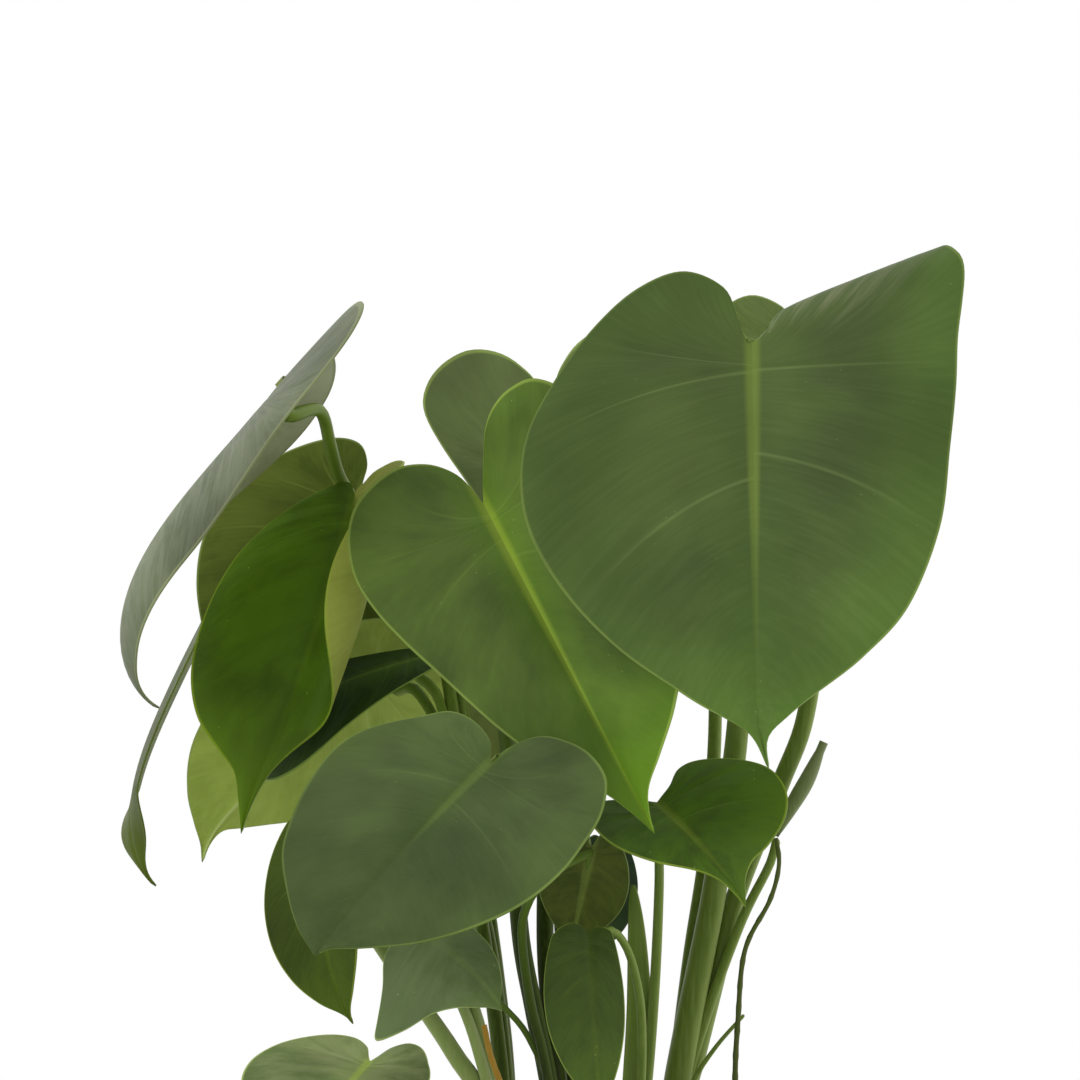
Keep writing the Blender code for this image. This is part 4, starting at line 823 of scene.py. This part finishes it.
class Value:
    """What a node gives, for sums and products with other such values and with numbers."""

    def __init__(self, shader, socket):
        self.shader = shader
        self.socket = socket

    def math(self, operation, *others):
        return self.shader.node("ShaderNodeMath", (self, *others), operation=operation)

    def __add__(self, other):
        return self.math("ADD", other)

    def __sub__(self, other):
        return self.math("SUBTRACT", other)

    def __rsub__(self, other):
        return self.shader.node("ShaderNodeMath", (other, self), operation="SUBTRACT")

    def __mul__(self, other):
        return self.math("MULTIPLY", other)

    def __truediv__(self, other):
        return self.math("DIVIDE", other)

    def __abs__(self):
        return self.math("ABSOLUTE")

    def rise(self, low, high, to_low=0, to_high=1):
        """Eases from one value to another as this one goes from low to high."""
        return self.shader.node("ShaderNodeMapRange", (self, low, high, to_low, to_high),
                                interpolation_type="SMOOTHSTEP")

    def mix(self, share, second):
        """This colour with a share of a second one."""
        return self.shader.mix(share, self, second)

    def scaled(self, share):
        return self.shader.node("ShaderNodeVectorMath", (self,), operation="SCALE", Scale=share)

    def parts(self):
        """The three numbers of a vector."""
        first = self.shader.node("ShaderNodeSeparateXYZ", (self,))
        return [Value(self.shader, socket) for socket in first.socket.node.outputs]


class Shader:
    """A material whose nodes are added one by one."""

    def __init__(self, name, specular, roughness=0.5):
        self.material = bpy.data.materials.new(name)
        self.material.use_nodes = True
        self.tree = self.material.node_tree
        self.main = self.tree.nodes["Principled BSDF"].inputs
        self.main["Roughness"].default_value = roughness
        self.main["Specular IOR Level"].default_value = specular

    def put(self, value, socket):
        if isinstance(value, Value):
            self.tree.links.new(value.socket, socket)
        else:
            socket.default_value = value

    def node(self, kind, values=(), output=0, **settings):
        """A new node's output. Its inputs are given in their order, or by capitalised names."""
        node = self.tree.nodes.new(kind)
        for key, value in settings.items():
            if key[0].islower():
                setattr(node, key, value)
            else:
                self.put(value, node.inputs[key])
        for value, socket in zip(values, node.inputs):
            self.put(value, socket)
        return Value(self, node.outputs[output])

    def mix(self, share, first, second):
        """A colour between two others."""
        colour = self.node("ShaderNodeMix", (share,), output=2, data_type="RGBA")
        self.put(first, colour.socket.node.inputs[6])
        self.put(second, colour.socket.node.inputs[7])
        return colour

    def map(self, name):
        return self.node("ShaderNodeUVMap", uv_map=name).parts()[:2]

    def place(self, kind="Object"):
        return self.node("ShaderNodeTexCoord", output=kind)

    def noise(self, where, scale, detail=2, rough=0.5):
        return self.node("ShaderNodeTexNoise", Vector=where, Scale=scale, Detail=detail,
                         Roughness=rough)

    def finish(self, colour, roughness, height, distance, strength):
        """The material, with its colour, roughness and bumps set."""
        bumps = self.node("ShaderNodeBump", Height=height, Distance=distance, Strength=strength)
        self.put(colour, self.main["Base Color"])
        self.put(roughness, self.main["Roughness"])
        self.put(bumps, self.main["Normal"])
        return self.material


class LeafShader(Shader):
    """A leaf's material, which knows its look and where on the blade a spot lies."""

    def __init__(self, name, look, specular):
        super().__init__(name, specular)
        self.look = look
        self.side, self.row = self.map("lie")
        self.out = abs(self.side)
        self.across, self.share = self.map("place")
        self.where = self.place()

    def by_side(self, left, right):
        """One value on the left half of a leaf and another on its right half."""
        is_right = self.side.math("GREATER_THAN", 0)
        return is_right * right + (1 - is_right) * left

    def near_rows(self, places):
        """How far a spot lies from the nearest of some rows."""
        nearest = 1
        for place in places:
            nearest = abs(self.row - place).math("MINIMUM", nearest)
        return nearest

    def spread(self):
        """How far apart the rows lie: by the notch they meet at the midrib, lower down they don't."""
        return (self.out + 0.12).math("MAXIMUM", self.row.rise(0.44, 0.56, 0, 0.75))

    def ground(self, cloud, grain, low, high):
        """The mottled colour that all the others lie on."""
        patch = (self.noise(self.where, cloud, 3, 0.55) * (1 - grain)
                 + self.streaks(15, 2.2) * grain)
        return self.mix(patch.rise(*PATCHES), low, high)

    def main_veins(self, width):
        """The side veins, which leave the midrib at rows of their own on each half."""
        gap = self.by_side(*[self.near_rows(rows) for rows in self.look.vein_rows])
        return (gap * self.spread() / width).rise(0.1, 1, 1, 0) * self.out.rise(0.35, 0.95, 1, 0.1)

    def fine_veins(self, width):
        """Faint lines between the side veins."""
        wave = (self.row * self.look.minor).math("FRACT")
        return ((0.5 - abs(wave - 0.5)) * self.spread() / width).rise(0.2, 1, 1, 0)

    def streaks(self, along, across):
        """Noise that is drawn out along the veins."""
        where = self.node("ShaderNodeCombineXYZ",
                          (self.row * along, self.out * across, self.side * 0.8))
        return self.noise(where, 1, 3, 0.6)

    def margin(self):
        """The pale edge of the blade."""
        start = self.look.margin_from
        return self.out.rise(start, start + MARGIN_EASE) * self.look.margin_show


def upper_side(name, look):
    """A leaf's upper side: mottled green, pale veins and margin, fine lines and dust, with a painted
    sheen and painted light and shade.
    """
    leaf = LeafShader(name, look, look.gloss)
    out, row, across, share, where = leaf.out, leaf.row, leaf.across, leaf.share, leaf.where
    fine = leaf.noise(where, 260, 3, 0.6)
    base = leaf.ground(look.cloud, look.grain, look.dark, look.light)
    base = base.mix(share.rise(look.fresh_from, 1) * look.fresh, look.young)
    base = base.mix(out.rise(0.35, 1) * leaf.by_side(*look.rim), look.young)
    glow = across.rise(0.01, look.glow_width, look.glow, 0)
    base = base.mix(glow * share.rise(0.15, 0.85, *look.glow_ends), look.young)
    threads = leaf.streaks(150, 3).rise(*THREADS)
    base = base.mix(threads * look.threads, look.vein)
    # Painted sheen: streaky pale grey patches over some rows and part of the way across, each half with
    # its own amount, standing in for light glancing off the blade.
    silver = leaf.streaks(46, 1.5).rise(0.42, 0.62, look.silver_least, 1)
    silver = silver * row.rise(*look.silver_rows, 1, 0) * out.rise(*look.silver_out)
    base = base.mix(silver * leaf.by_side(*look.silver), look.bloom)
    minor = leaf.fine_veins(0.004) * fine.rise(0.3, 0.6, 0.2, 1)
    base = base.mix(minor * (look.vein_show * 0.3), look.vein)
    major = leaf.main_veins(look.vein_width)
    base = base.mix(major * look.vein_show, look.vein)
    rib = (across / share.rise(-0.02, look.rib_end, look.rib_width, 0.008)).rise(0.3, 1.25, 1, 0)
    rib *= share.rise(look.rib_end * 0.3, look.rib_end, look.rib_show, look.rib_low)
    base = base.mix(rib, look.rib)
    base = base.mix(leaf.margin(), look.margin)
    dust = leaf.node("ShaderNodeTexVoronoi", Vector=where, Scale=330).rise(0.05, 0.11, 1, 0)
    base = base.mix(dust * leaf.noise(where, 90).rise(0.56, 0.68) * look.dust, look.pale)
    # Painted light and shade: each half and each end of the blade is made lighter or darker by how much
    # light falls there, and broad dapple patches lie over it, partly painted light and shade of the
    # undulating blade and partly tone that differs at random.
    light = leaf.by_side(*look.lit) * share.rise(0.1, 0.9, *look.fall)
    dapple = leaf.noise(where, 20, 2, 0.5).rise(0.32, 0.68, 1 - look.dapple, 1 + look.dapple)
    film = fine * 0.16 + (look.rough - 0.08) + rib * 0.08
    height = threads * 0.25 + fine * 0.4 - major * 0.5 - minor * 0.15
    return leaf.finish(base.scaled(light * dapple), film, height, BLADE_BUMP, look.relief)


def under_side(name, look):
    """A leaf's underside: paler and more olive, with its veins standing out."""
    leaf = LeafShader(name, look, look.gloss * 0.9)
    fine = leaf.noise(leaf.where, 300, 3, 0.6)
    base = leaf.ground(UNDER_CLOUD, UNDER_GRAIN, look.under_dark, look.under)
    threads = leaf.streaks(130, 3).rise(*THREADS)
    base = base.mix(threads * 0.15, look.under_vein)
    minor = leaf.fine_veins(0.005)
    base = base.mix(minor * (look.under_show * 0.35), look.under_vein)
    major = leaf.main_veins(look.vein_width * 1.2)
    base = base.mix(major * look.under_show, look.under_vein)
    rib = leaf.across / leaf.share.rise(-0.02, 0.95, look.rib_width * 1.1, 0.006)
    base = base.mix(rib.rise(0.4, 1.2, look.under_rib_show, 0), look.under_rib)
    base = base.mix(leaf.margin(), look.margin)
    height = fine * 0.4 + threads * 0.3 + major * 0.6 + minor * 0.2
    return leaf.finish(base, fine * 0.16 + (look.rough - 0.02), height, BLADE_BUMP, look.relief)


def stalk_material(name, low, high, streak_and_sheen, rough=0.42):
    """A leaf stalk: darker and earthy at the foot, paler near its blade, with fine streaks and painted
    sheen, highlight and shade.
    """
    shader = Shader(name, 0.12)
    low, high, streak_and_sheen, earthy = [linear(*each) for each in (low, high, streak_and_sheen, STALK_FOOT)]
    share, turn = shader.map("place")
    where = shader.place()
    lines = shader.noise(shader.node("ShaderNodeMapping", Vector=where, Scale=(1, 1, 0.05)),
                         900, 3, 0.6)
    base = shader.mix(share.rise(0.25, 0.98), low, high)
    base = base.mix(lines.rise(*THREADS) * 0.2, streak_and_sheen)
    base = base.mix(shader.noise(where, 60).rise(0.5, 0.75) * 0.3, low)
    # Painted sheen: paler down both flanks, as the stalk is seen from the front.
    base = base.mix(abs(turn - 0.5).rise(0.2, 0.42, 0.4, 0), streak_and_sheen)
    # Painted highlight down the side that faces right, and painted shade in the foot's colour down the
    # side that faces left.
    facing = shader.place("Normal").parts()[0]
    base = base.mix(facing.rise(0.1, 0.95, 0, 0.6), streak_and_sheen)
    base = base.mix(facing.rise(-0.3, -0.95, 0, 0.35), low)
    base = base.mix(share.rise(0, 0.12, 0.75, 0), earthy)
    return shader.finish(base, lines * 0.2 + (rough - 0.1), lines, 0.3 * MM, 0.12)


def soil_material():
    """Dark damp soil, with scraps of paler bark where the map says so."""
    shader = Shader("potting_soil", 0.25)
    where = shader.place()
    is_chip, tint = shader.map("place")
    clod = shader.noise(where, 320, 6, 0.7)
    base = shader.mix(clod.rise(*THREADS), linear(38, 28, 20), linear(84, 64, 46))
    patch = shader.noise(where, 45, 3, 0.6).rise(0.45, 0.7)
    base = base.mix(patch * 0.5, linear(30, 22, 17))
    base = base.mix(is_chip, shader.mix(tint, linear(70, 48, 30), linear(128, 96, 62)))
    return shader.finish(base, clod * 0.2 + 0.75, clod, 1.2 * MM, 0.8)


def terracotta_material():
    """Fired clay: warm, chalky, with pale whitish patches by the rim and faint turning lines."""
    shader = Shader("terracotta", 0.3)
    where = shader.place()
    height = where.parts()[2]
    patch = shader.noise(where, 22, 4, 0.6).rise(*THREADS)
    base = shader.mix(patch, linear(168, 98, 68), linear(188, 118, 84))
    grain = shader.noise(where, 700, 4, 0.6)
    base = base.mix(grain.rise(0.5, 0.75) * 0.35, linear(206, 146, 112))
    # Pale whitish patches towards the rim, the clay's own deposit.
    bloom = shader.noise(where, 60, 5, 0.65).rise(0.5, 0.72) * height.rise(0.05, 0.112)
    base = base.mix(bloom * 0.4, linear(222, 196, 172))
    base = base.mix(height.rise(0, 0.035, 1, 0) * 0.35, linear(122, 66, 46))
    rings = (height * 4200).math("SINE")
    return shader.finish(base, grain * 0.2 + 0.72, rings * 0.12 + grain * 0.6, 0.4 * MM, 0.5)


# How each leaf looks. Colours are as the photograph shows them, and the tones are painted light and
# shade:
# they make each leaf's colours lighter or darker by how much light it gets where it hangs. Vein rows run
# from the notch at 0 to the tip at 1.
# Some keys set a painted sheen: its pale grey colour, how much of it each half gets, and the rows and
# the reach across in which it lies.
PLAIN_LOOK = dict(
    dark=(58, 80, 36), light=(74, 97, 44), young=(90, 120, 42), vein=(104, 126, 62),
    rib=(122, 142, 62), margin=(142, 162, 88), pale=(160, 174, 130), bloom=(112, 122, 92),
    under=(106, 122, 56), under_dark=(90, 106, 46), under_vein=(126, 140, 76),
    under_rib=(134, 148, 80), fresh=0.3, fresh_from=0.5, rim=(0, 0), glow=0.2, glow_width=0.09,
    glow_ends=(1, 0.2), grain=0.4, cloud=22, threads=0.08, dapple=0.18, fall=(1, 1), silver=(0, 0),
    silver_least=0.15, silver_rows=(0, 1), silver_out=(0.1, 0.5), minor=26,
    vein_rows=((0.2, 0.36, 0.54), (0.24, 0.42, 0.6)), vein_width=0.0045, vein_show=0.3, under_show=0.4,
    rib_width=0.018, rib_show=0.7, rib_low=0.1, rib_end=0.9, under_rib_show=0.8, margin_from=0.978,
    margin_show=0.6, dust=0.35, gloss=0.15, rough=0.45, relief=0.4, quilt=0.35, rows=72, columns=18,
    lit=(1, 1), painted_light=(1, 1, 1), underside_painted_light=(1, 1, 1))
LOOKS = dict(
    leaf_big_right=dict(
        dark=(72, 89, 49), light=(82, 100, 53), young=(80, 114, 36), rib=(122, 142, 66),
        vein=(130, 150, 96), rows=132, columns=34, rib_width=0.029, rib_end=0.85, rib_low=0,
        fresh=0.15, rim=(0.25, 0.4), quilt=0.4, margin_show=0.45, margin_from=0.984, vein_width=0.003,
        vein_rows=((0.3, 0.47, 0.69), (0.46, 0.655)), grain=0.25, cloud=14, glow=0.4, glow_width=0.25,
        glow_ends=(0, 1), silver=(0, 0.8), silver_rows=(0.2, 0.34), silver_out=(0.35, 0.7),
        bloom=(138, 142, 118), lit=(0.97, 1.03), fall=(0.88, 1.16), painted_light=(0.76, 0.79, 0.6)),
    leaf_behind_big=dict(under=(92, 108, 62), under_dark=(84, 100, 52), underside_painted_light=(1.8, 1.8, 1.8)),
    leaf_centre=dict(
        dark=(64, 82, 42), light=(84, 104, 53), young=(84, 120, 18), rows=110, columns=28,
        rib=(122, 142, 56), rib_width=0.028, rib_low=0.4, glow=0.35, glow_width=0.14, fresh=0.75,
        fresh_from=0.45, rim=(0, 0.05), rib_show=0.75, lit=(0.95, 1.36), grain=0.3, cloud=14,
        margin_show=0.5, gloss=0.1, painted_light=(0.95, 0.98, 0.66)),
    leaf_low_front=dict(
        dark=(66, 82, 45), light=(86, 102, 61), vein=(100, 117, 76), rows=100, columns=26,
        rib=(112, 132, 68), rib_width=0.02, rib_show=0.5, rib_end=0.55, rib_low=0, glow=0.1, fresh=0,
        threads=0.1, grain=0.25, cloud=12, vein_show=0.35, dapple=0.22, margin_show=0.4,
        fall=(1.05, 0.95), painted_light=(0.76, 0.82, 0.55)),
    leaf_back_centre=dict(dark=(80, 94, 56), light=(94, 108, 68), painted_light=(1.13, 1.13, 0.94)),
    leaf_far_left=dict(
        dark=(86, 100, 62), light=(108, 120, 82), rows=110, columns=26, under=(140, 146, 118),
        under_dark=(120, 128, 98), under_vein=(150, 156, 130), rib=(134, 150, 84), silver=(0.35, 0.5),
        silver_rows=(1.2, 2), silver_out=(1.3, 0.1), bloom=(142, 153, 122), relief=0.08, threads=0.2,
        vein=(156, 164, 142), margin=(150, 162, 110), margin_show=0.7, margin_from=0.97,
        painted_light=(0.7, 0.68, 0.7), underside_painted_light=(1.2, 1.2, 1.1)),
    leaf_left_back=dict(
        under=(84, 98, 44), under_dark=(70, 84, 36), under_vein=(108, 122, 62), rows=90, columns=22,
        under_show=0.6, underside_painted_light=(1.4, 1.4, 1)),
    leaf_left_curled=dict(
        dark=(48, 70, 20), light=(62, 90, 26), vein=(72, 98, 36), rows=100, columns=28, vein_show=0.12,
        glow=0, under=(104, 122, 46), under_dark=(92, 110, 38), under_vein=(122, 138, 66),
        rib_show=0.08, rib_low=0, margin_show=0.3, silver=(0, 1), silver_least=0.8,
        silver_rows=(0.25, 0.36), silver_out=(0, 0.1), bloom=(116, 122, 120), fresh=0.5,
        fresh_from=0.55, gloss=0.1, fall=(0.85, 1.1), painted_light=(1.34, 1.34, 0.28),
        underside_painted_light=(2.15, 1.8, 2.2)),
    leaf_left_edge_on=dict(
        dark=(100, 114, 72), light=(114, 126, 84), young=(106, 126, 14), fresh=0.95, fresh_from=0.6,
        rows=90, columns=20, gloss=0.08, painted_light=(0.5, 0.53, 0.24)),
    leaf_small_right=dict(
        dark=(46, 68, 22), light=(62, 94, 26), young=(84, 118, 40), rows=84, columns=22,
        margin=(130, 156, 64), glow=0.1, rim=(0, 0.3), rib_show=0.3, vein_show=0.2, gloss=0.1,
        painted_light=(1.12, 1.04, 0.7)),
    leaf_low_pale=dict(
        under=(116, 132, 52), under_dark=(104, 120, 44), under_vein=(134, 148, 76), rows=90,
        columns=22, underside_painted_light=(1.88, 1.9, 2.2)),
    leaf_middle_dark=dict(
        dark=(30, 46, 12), light=(42, 62, 18), rib_show=0.2, vein_show=0.15, lit=(0.75, 1.2),
        gloss=0.1, painted_light=(0.8, 0.92, 0.6)),
    leaf_left_hanging=dict(
        dark=(48, 64, 26), light=(60, 78, 34), rib_show=0.2, gloss=0.1, painted_light=(0.9, 0.87, 0.33)),
    leaf_low_grey=dict(
        dark=(70, 88, 50), light=(84, 102, 62), rib_show=0.1, vein_show=0.12, glow=0,
        painted_light=(1.58, 1.46, 1.65)),
    leaf_bottom_left=dict(dark=(70, 88, 48), light=(102, 114, 76), dapple=0.3, painted_light=(1.72, 1.62, 1.6)),
    leaf_front_narrow=dict(
        dark=(50, 68, 28), light=(62, 82, 36), quilt=0.2, rib_show=0.05, vein_show=0.1, glow=0,
        painted_light=(0.9, 0.9, 0.5)),
    leaf_young_brown=dict(
        under=(68, 76, 30), under_dark=(54, 62, 20), under_vein=(88, 96, 46), quilt=0.2,
        under_rib_show=0.2, under_show=0.25, underside_painted_light=(1.36, 1.5, 1.05)),
    leaf_young_dark=dict(dark=(34, 52, 32), light=(46, 66, 40), quilt=0.2),
)
UPPER_COLOURS = ("dark", "light", "young", "vein", "rib", "margin", "pale", "bloom")
UNDER_COLOURS = ("under", "under_dark", "under_vein", "under_rib")

# Colours of the stalks: at the foot, at the top, and of their streaks, which also give their painted
# sheen and highlight.
# Each crown's colours are partly painted light and shade, lighter or darker by how much light reaches
# its stalks.
STALK_FOOT = (58, 62, 34)
STALK_COLOURS = dict(
    stems_left=((128, 148, 78), (144, 164, 96), (168, 182, 126)),
    stems_back_left=((60, 78, 22), (90, 116, 32), (122, 142, 62)),
    stems_middle=((38, 50, 12), (88, 114, 36), (84, 104, 40)),
    stems_front=((78, 98, 32), (98, 122, 46), (132, 150, 78)),
    stems_right=((82, 102, 32), (94, 116, 42), (142, 160, 88)),
)


def look_of(name):
    """A leaf's look, with its colours as the shader counts them and scaled by its painted light and
    shade.
    """
    look = PLAIN_LOOK | LOOKS.get(name, {})
    for colours, painted_light in ((UPPER_COLOURS, look["painted_light"]), (UNDER_COLOURS, look["underside_painted_light"])):
        for key in colours:
            look[key] = (*[part * more for part, more in zip(linear(*look[key]), painted_light)], 1)
    return SimpleNamespace(**look)


# The plant

def dress(piece, material, node):
    piece.data.materials.append(material)
    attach(piece, "root")
    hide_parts(node)


def make_leaves():
    for name in LEAVES:
        look = look_of(name)
        leaf = leaf_of(name) | dict(vein_rows=look.vein_rows, quilt=look.quilt)
        piece = blade_piece(name + "_blade", leaf, look.rows, look.columns)
        piece.data.materials.append(upper_side(name + "_upper", look))
        dress(piece, under_side(name + "_under", look), name)


def make_stems():
    for name, crown in CROWNS.items():
        foot = crown["foot"]
        parts = [crown_parts(foot, crown["radius"] * MM)]
        parts += [leaf_stalk_parts(foot, *each) for each in crown["stalks"]]
        parts += [stalk_parts(foot, rising(places), base, tip)
                  for tip, base, places in SPURS.get(name, ())]
        if name == "stems_front":
            parts.append(sheath_parts(foot))
        material = stalk_material(name + "_green", *STALK_COLOURS[name])
        dress(gather(name + "_stalks", parts), material, name)


def make_small_pieces():
    young = stalk_material("young_green", (94, 110, 60), (104, 116, 72), (132, 144, 102))
    brown = stalk_material("root_brown", (62, 72, 30), (76, 92, 36), (88, 92, 50), 0.6)
    orange = stalk_material("dry_orange", (140, 104, 36), (160, 124, 44), (176, 146, 70), 0.6)
    for name, form, material, slot in (
            ("rolled_leaf", spindle_parts(*ROLLED_LEAF), young, "young_leaf"),
            ("aerial_root", rooted_parts(*AERIAL_ROOT, 0.2), brown, "root"),
            ("dry_stalk", rooted_parts(*DRY_STALK, 0.1), orange, "dry_stalk")):
        dress(gather(name + "_form", [form]), material, name)


# The pot and its soil

def lathe(name, profile, segments):
    """A closed form turned about the pot's axis."""
    count = len(profile)
    points = [(*around(r, angle), z) for angle in angles(segments) for r, z in profile]
    faces = []
    for k in range(segments):
        a, b = k * count, (k + 1) % segments * count
        faces += [(a + i, b + i, b + i + 1, a + i + 1) for i in range(count - 1)]
    faces.append(tuple(k * count for k in range(segments))[::-1])
    faces.append(tuple(k * count + count - 1 for k in range(segments)))
    return mesh_object(name, points, faces, POT_SMOOTH)


def rounded(corners, radii):
    """A profile whose corners are rounded off."""
    corners = [np.array(c, float) for c in corners]
    profile = [tuple(corners[0])]
    for before, corner, after, radius in zip(corners, corners[1:], corners[2:], radii):
        start, end = [corner + unit(other - corner) * min(radius, np.linalg.norm(other - corner) / 2)
                      for other in (before, after)]
        for part in np.linspace(0, 1, ROUND_STEPS + 1):
            profile.append(tuple((1 - part) ** 2 * start + 2 * part * (1 - part) * corner
                                 + part * part * end))
    profile.append(tuple(corners[-1]))
    return profile


def pot_radius(height):
    top = POT_RIM_RADIUS - RIM_STEP
    return POT_BASE_RADIUS + (top - POT_BASE_RADIUS) * height / POT_HEIGHT


def inner_radius(height):
    inner_top = pot_radius(POT_HEIGHT) - POT_WALL + WALL_TAPER
    inner_foot = pot_radius(POT_FLOOR) - POT_WALL
    share = (height - POT_FLOOR) / (POT_HEIGHT - POT_FLOOR)
    return inner_foot + (inner_top - inner_foot) * share


def pierce(pot, cutter):
    """Cuts a hole through the pot, and takes the cutter away."""
    cut = pot.modifiers.new("cut", "BOOLEAN")
    cut.object = cutter
    cut.operation = "DIFFERENCE"
    cut.solver = "EXACT"
    bpy.context.view_layer.update()
    holed = pot.evaluated_get(bpy.context.evaluated_depsgraph_get())
    mesh = bpy.data.meshes.new_from_object(holed)
    pot.modifiers.remove(cut)
    pot.data = mesh
    bpy.data.objects.remove(cutter)


def make_pot():
    band = POT_HEIGHT - RIM_HEIGHT
    corners = ((POT_BASE_RADIUS - FOOT_START, 0), (POT_BASE_RADIUS, 0), (pot_radius(band), band),
               (POT_RIM_RADIUS, band), (POT_RIM_RADIUS, POT_HEIGHT),
               (inner_radius(POT_HEIGHT), POT_HEIGHT), (inner_radius(POT_FLOOR), POT_FLOOR),
               (inner_radius(POT_FLOOR) - FLOOR_END, POT_FLOOR))
    pot = lathe("pot_form", rounded(corners, POT_ROUNDS), POT_SEGMENTS)
    for k in range(DRAIN_COUNT):
        spot = around(DRAIN_CIRCLE, 2 * math.pi * (k + 0.5) / DRAIN_COUNT)
        places = [(*spot, z) for z in (-DRAIN_REACH, POT_FLOOR + DRAIN_REACH)]
        points, faces, _ = tube_parts(places, (DRAIN_RADIUS, DRAIN_RADIUS), DRAIN_SIDES)
        pierce(pot, mesh_object("drain", points, faces))
    pot.data.set_sharp_from_angle(angle=math.radians(POT_SMOOTH))
    dress(pot, terracotta_material(), "pot")


def soil_height(x, y):
    """How high the soil's top is: low bumps, and a fall towards the pot's wall."""
    bumps = (math.sin(x * 150 + 1) * math.cos(y * 170) + 0.6 * math.sin(x * 310 - y * 260)
             + 0.5 * math.cos(x * 90 + y * 420))
    edge = math.hypot(x, y) / inner_radius(SOIL_LEVEL)
    return SOIL_LEVEL + SOIL_BUMP * (0.5 * bumps - 1.2 * edge ** 6)


def make_soil():
    """The soil as crumbs on its bumpy top, with chips of bark among them."""
    rings, segments = SOIL_RINGS, SOIL_SEGMENTS
    reach = inner_radius(SOIL_LEVEL) - SOIL_GAP
    points, faces = [(0, 0, soil_height(0, 0))], []
    for ring in range(1, rings + 1):
        for angle in angles(segments):
            x, y = around(reach * (ring / rings) ** RING_CROWDING, angle)
            crumb = (math.sin(x * 1900 + 3 * math.sin(y * 1300)) * math.sin(y * 2100)
                     + math.sin(x * 3700 + y * 900) * math.sin(y * 3300 - x * 1100))
            points.append((x, y, soil_height(x, y) + CRUMB * crumb * (ring < rings)))
    foot = POT_FLOOR + SOIL_FOOT[1]
    radius = inner_radius(foot) - SOIL_FOOT[0]
    points += [(*around(radius, angle), foot) for angle in angles(segments)]
    for k in range(segments):
        after = (k + 1) % segments
        faces.append((0, 1 + k, 1 + after))
        for ring in range(rings):
            a, b = 1 + ring * segments, 1 + (ring + 1) * segments
            faces.append((a + k, b + k, b + after, a + after))
    faces.append(tuple(range(1 + rings * segments, len(points)))[::-1])
    parts = [(points, faces, [(0.0, 0.0)] * len(points))]
    for _ in range(CHIP_COUNT):
        distance = reach * CHIP_REACH * math.sqrt(random.random())
        x, y = around(distance, random.uniform(0, 2 * math.pi))
        parts.append(chip_parts((x, y, soil_height(x, y)), random.uniform(*CHIP_SIZES) * MM))
    dress(gather("soil_form", parts, 40), soil_material(), "soil")


def chip_parts(place, size):
    """A flat scrap of bark, lying at a random turn."""
    axes = np.linalg.qr(np.random.default_rng(random.randrange(10 ** 6)).normal(size=(3, 3)))[0]
    axes = axes * np.array(CHIP_SHAPE)[:, None]
    points = []
    for turn in angles(CHIP_SIDES):
        right, back = around(random.uniform(*CHIP_ROUGH), turn)
        for level in (-0.5, 0.5):
            points.append(np.array(place) + size * (
                right * axes[0] + back * axes[1] + level * axes[2]))
    starts = range(0, 2 * CHIP_SIDES, 2)
    faces = [(a, b, b + 1, a + 1) for a, b in zip(starts, (*starts[1:], 0))]
    faces += [tuple(starts)[::-1], tuple(a + 1 for a in starts)]
    tint = random.random()
    return points, faces, [(1.0, tint)] * len(points)


# The studio

FLOOR_WHITE = (0.82, 0.82, 0.81, 1)
# Each lamp's name, place, width and power. All shine at the middle of the leaves.
LAMPS = (("overhead", (-0.3, -0.3, 1.7), 1.4, 4.5), ("front_left", (-1.2, -1.4, 1.1), 1.0, 2.5))
LAMP_AIM = (0, 0, 0.3)
FILM_WIDTH = 36
FLOOR_SIDES = 96


def area_light(name, place, size, power):
    lamp = bpy.data.lights.new(name, "AREA")
    lamp.shape = "DISK"
    lamp.size = size
    lamp.energy = power
    piece = bpy.data.objects.new(name, lamp)
    bpy.context.scene.collection.objects.link(piece)
    piece.location = place
    piece.rotation_euler = (Vector(LAMP_AIM) - Vector(place)).to_track_quat("-Z", "Y").to_euler()


def make_studio():
    scene = bpy.context.scene
    scene.view_settings.view_transform = "Standard"
    lens = bpy.data.cameras.new("camera")
    lens.sensor_width = FILM_WIDTH
    lens.lens = FILM_WIDTH * -EYE[1] / (PHOTO_WIDTH * SCALE)
    camera = bpy.data.objects.new("camera", lens)
    scene.collection.objects.link(camera)
    camera.location = EYE
    camera.rotation_euler = (math.radians(90), 0, 0)
    scene.camera = camera
    world = bpy.data.worlds.new("studio")
    world.use_nodes = True
    light = world.node_tree.nodes["Background"].inputs
    light["Color"].default_value = (1, 1, 1, 1)
    light["Strength"].default_value = 1.0
    scene.world = world
    for lamp in LAMPS:
        area_light(*lamp)
    floor = mesh_object("floor", [(*around(1, angle), 0) for angle in angles(FLOOR_SIDES)],
                        [tuple(range(FLOOR_SIDES))])
    shade = Shader("floor_white", 0.3, 0.7)
    shade.put(FLOOR_WHITE, shade.main["Base Color"])
    floor.data.materials.append(shade.material)


make_studio()
make_leaves()
make_stems()
make_small_pieces()
make_pot()
make_soil()
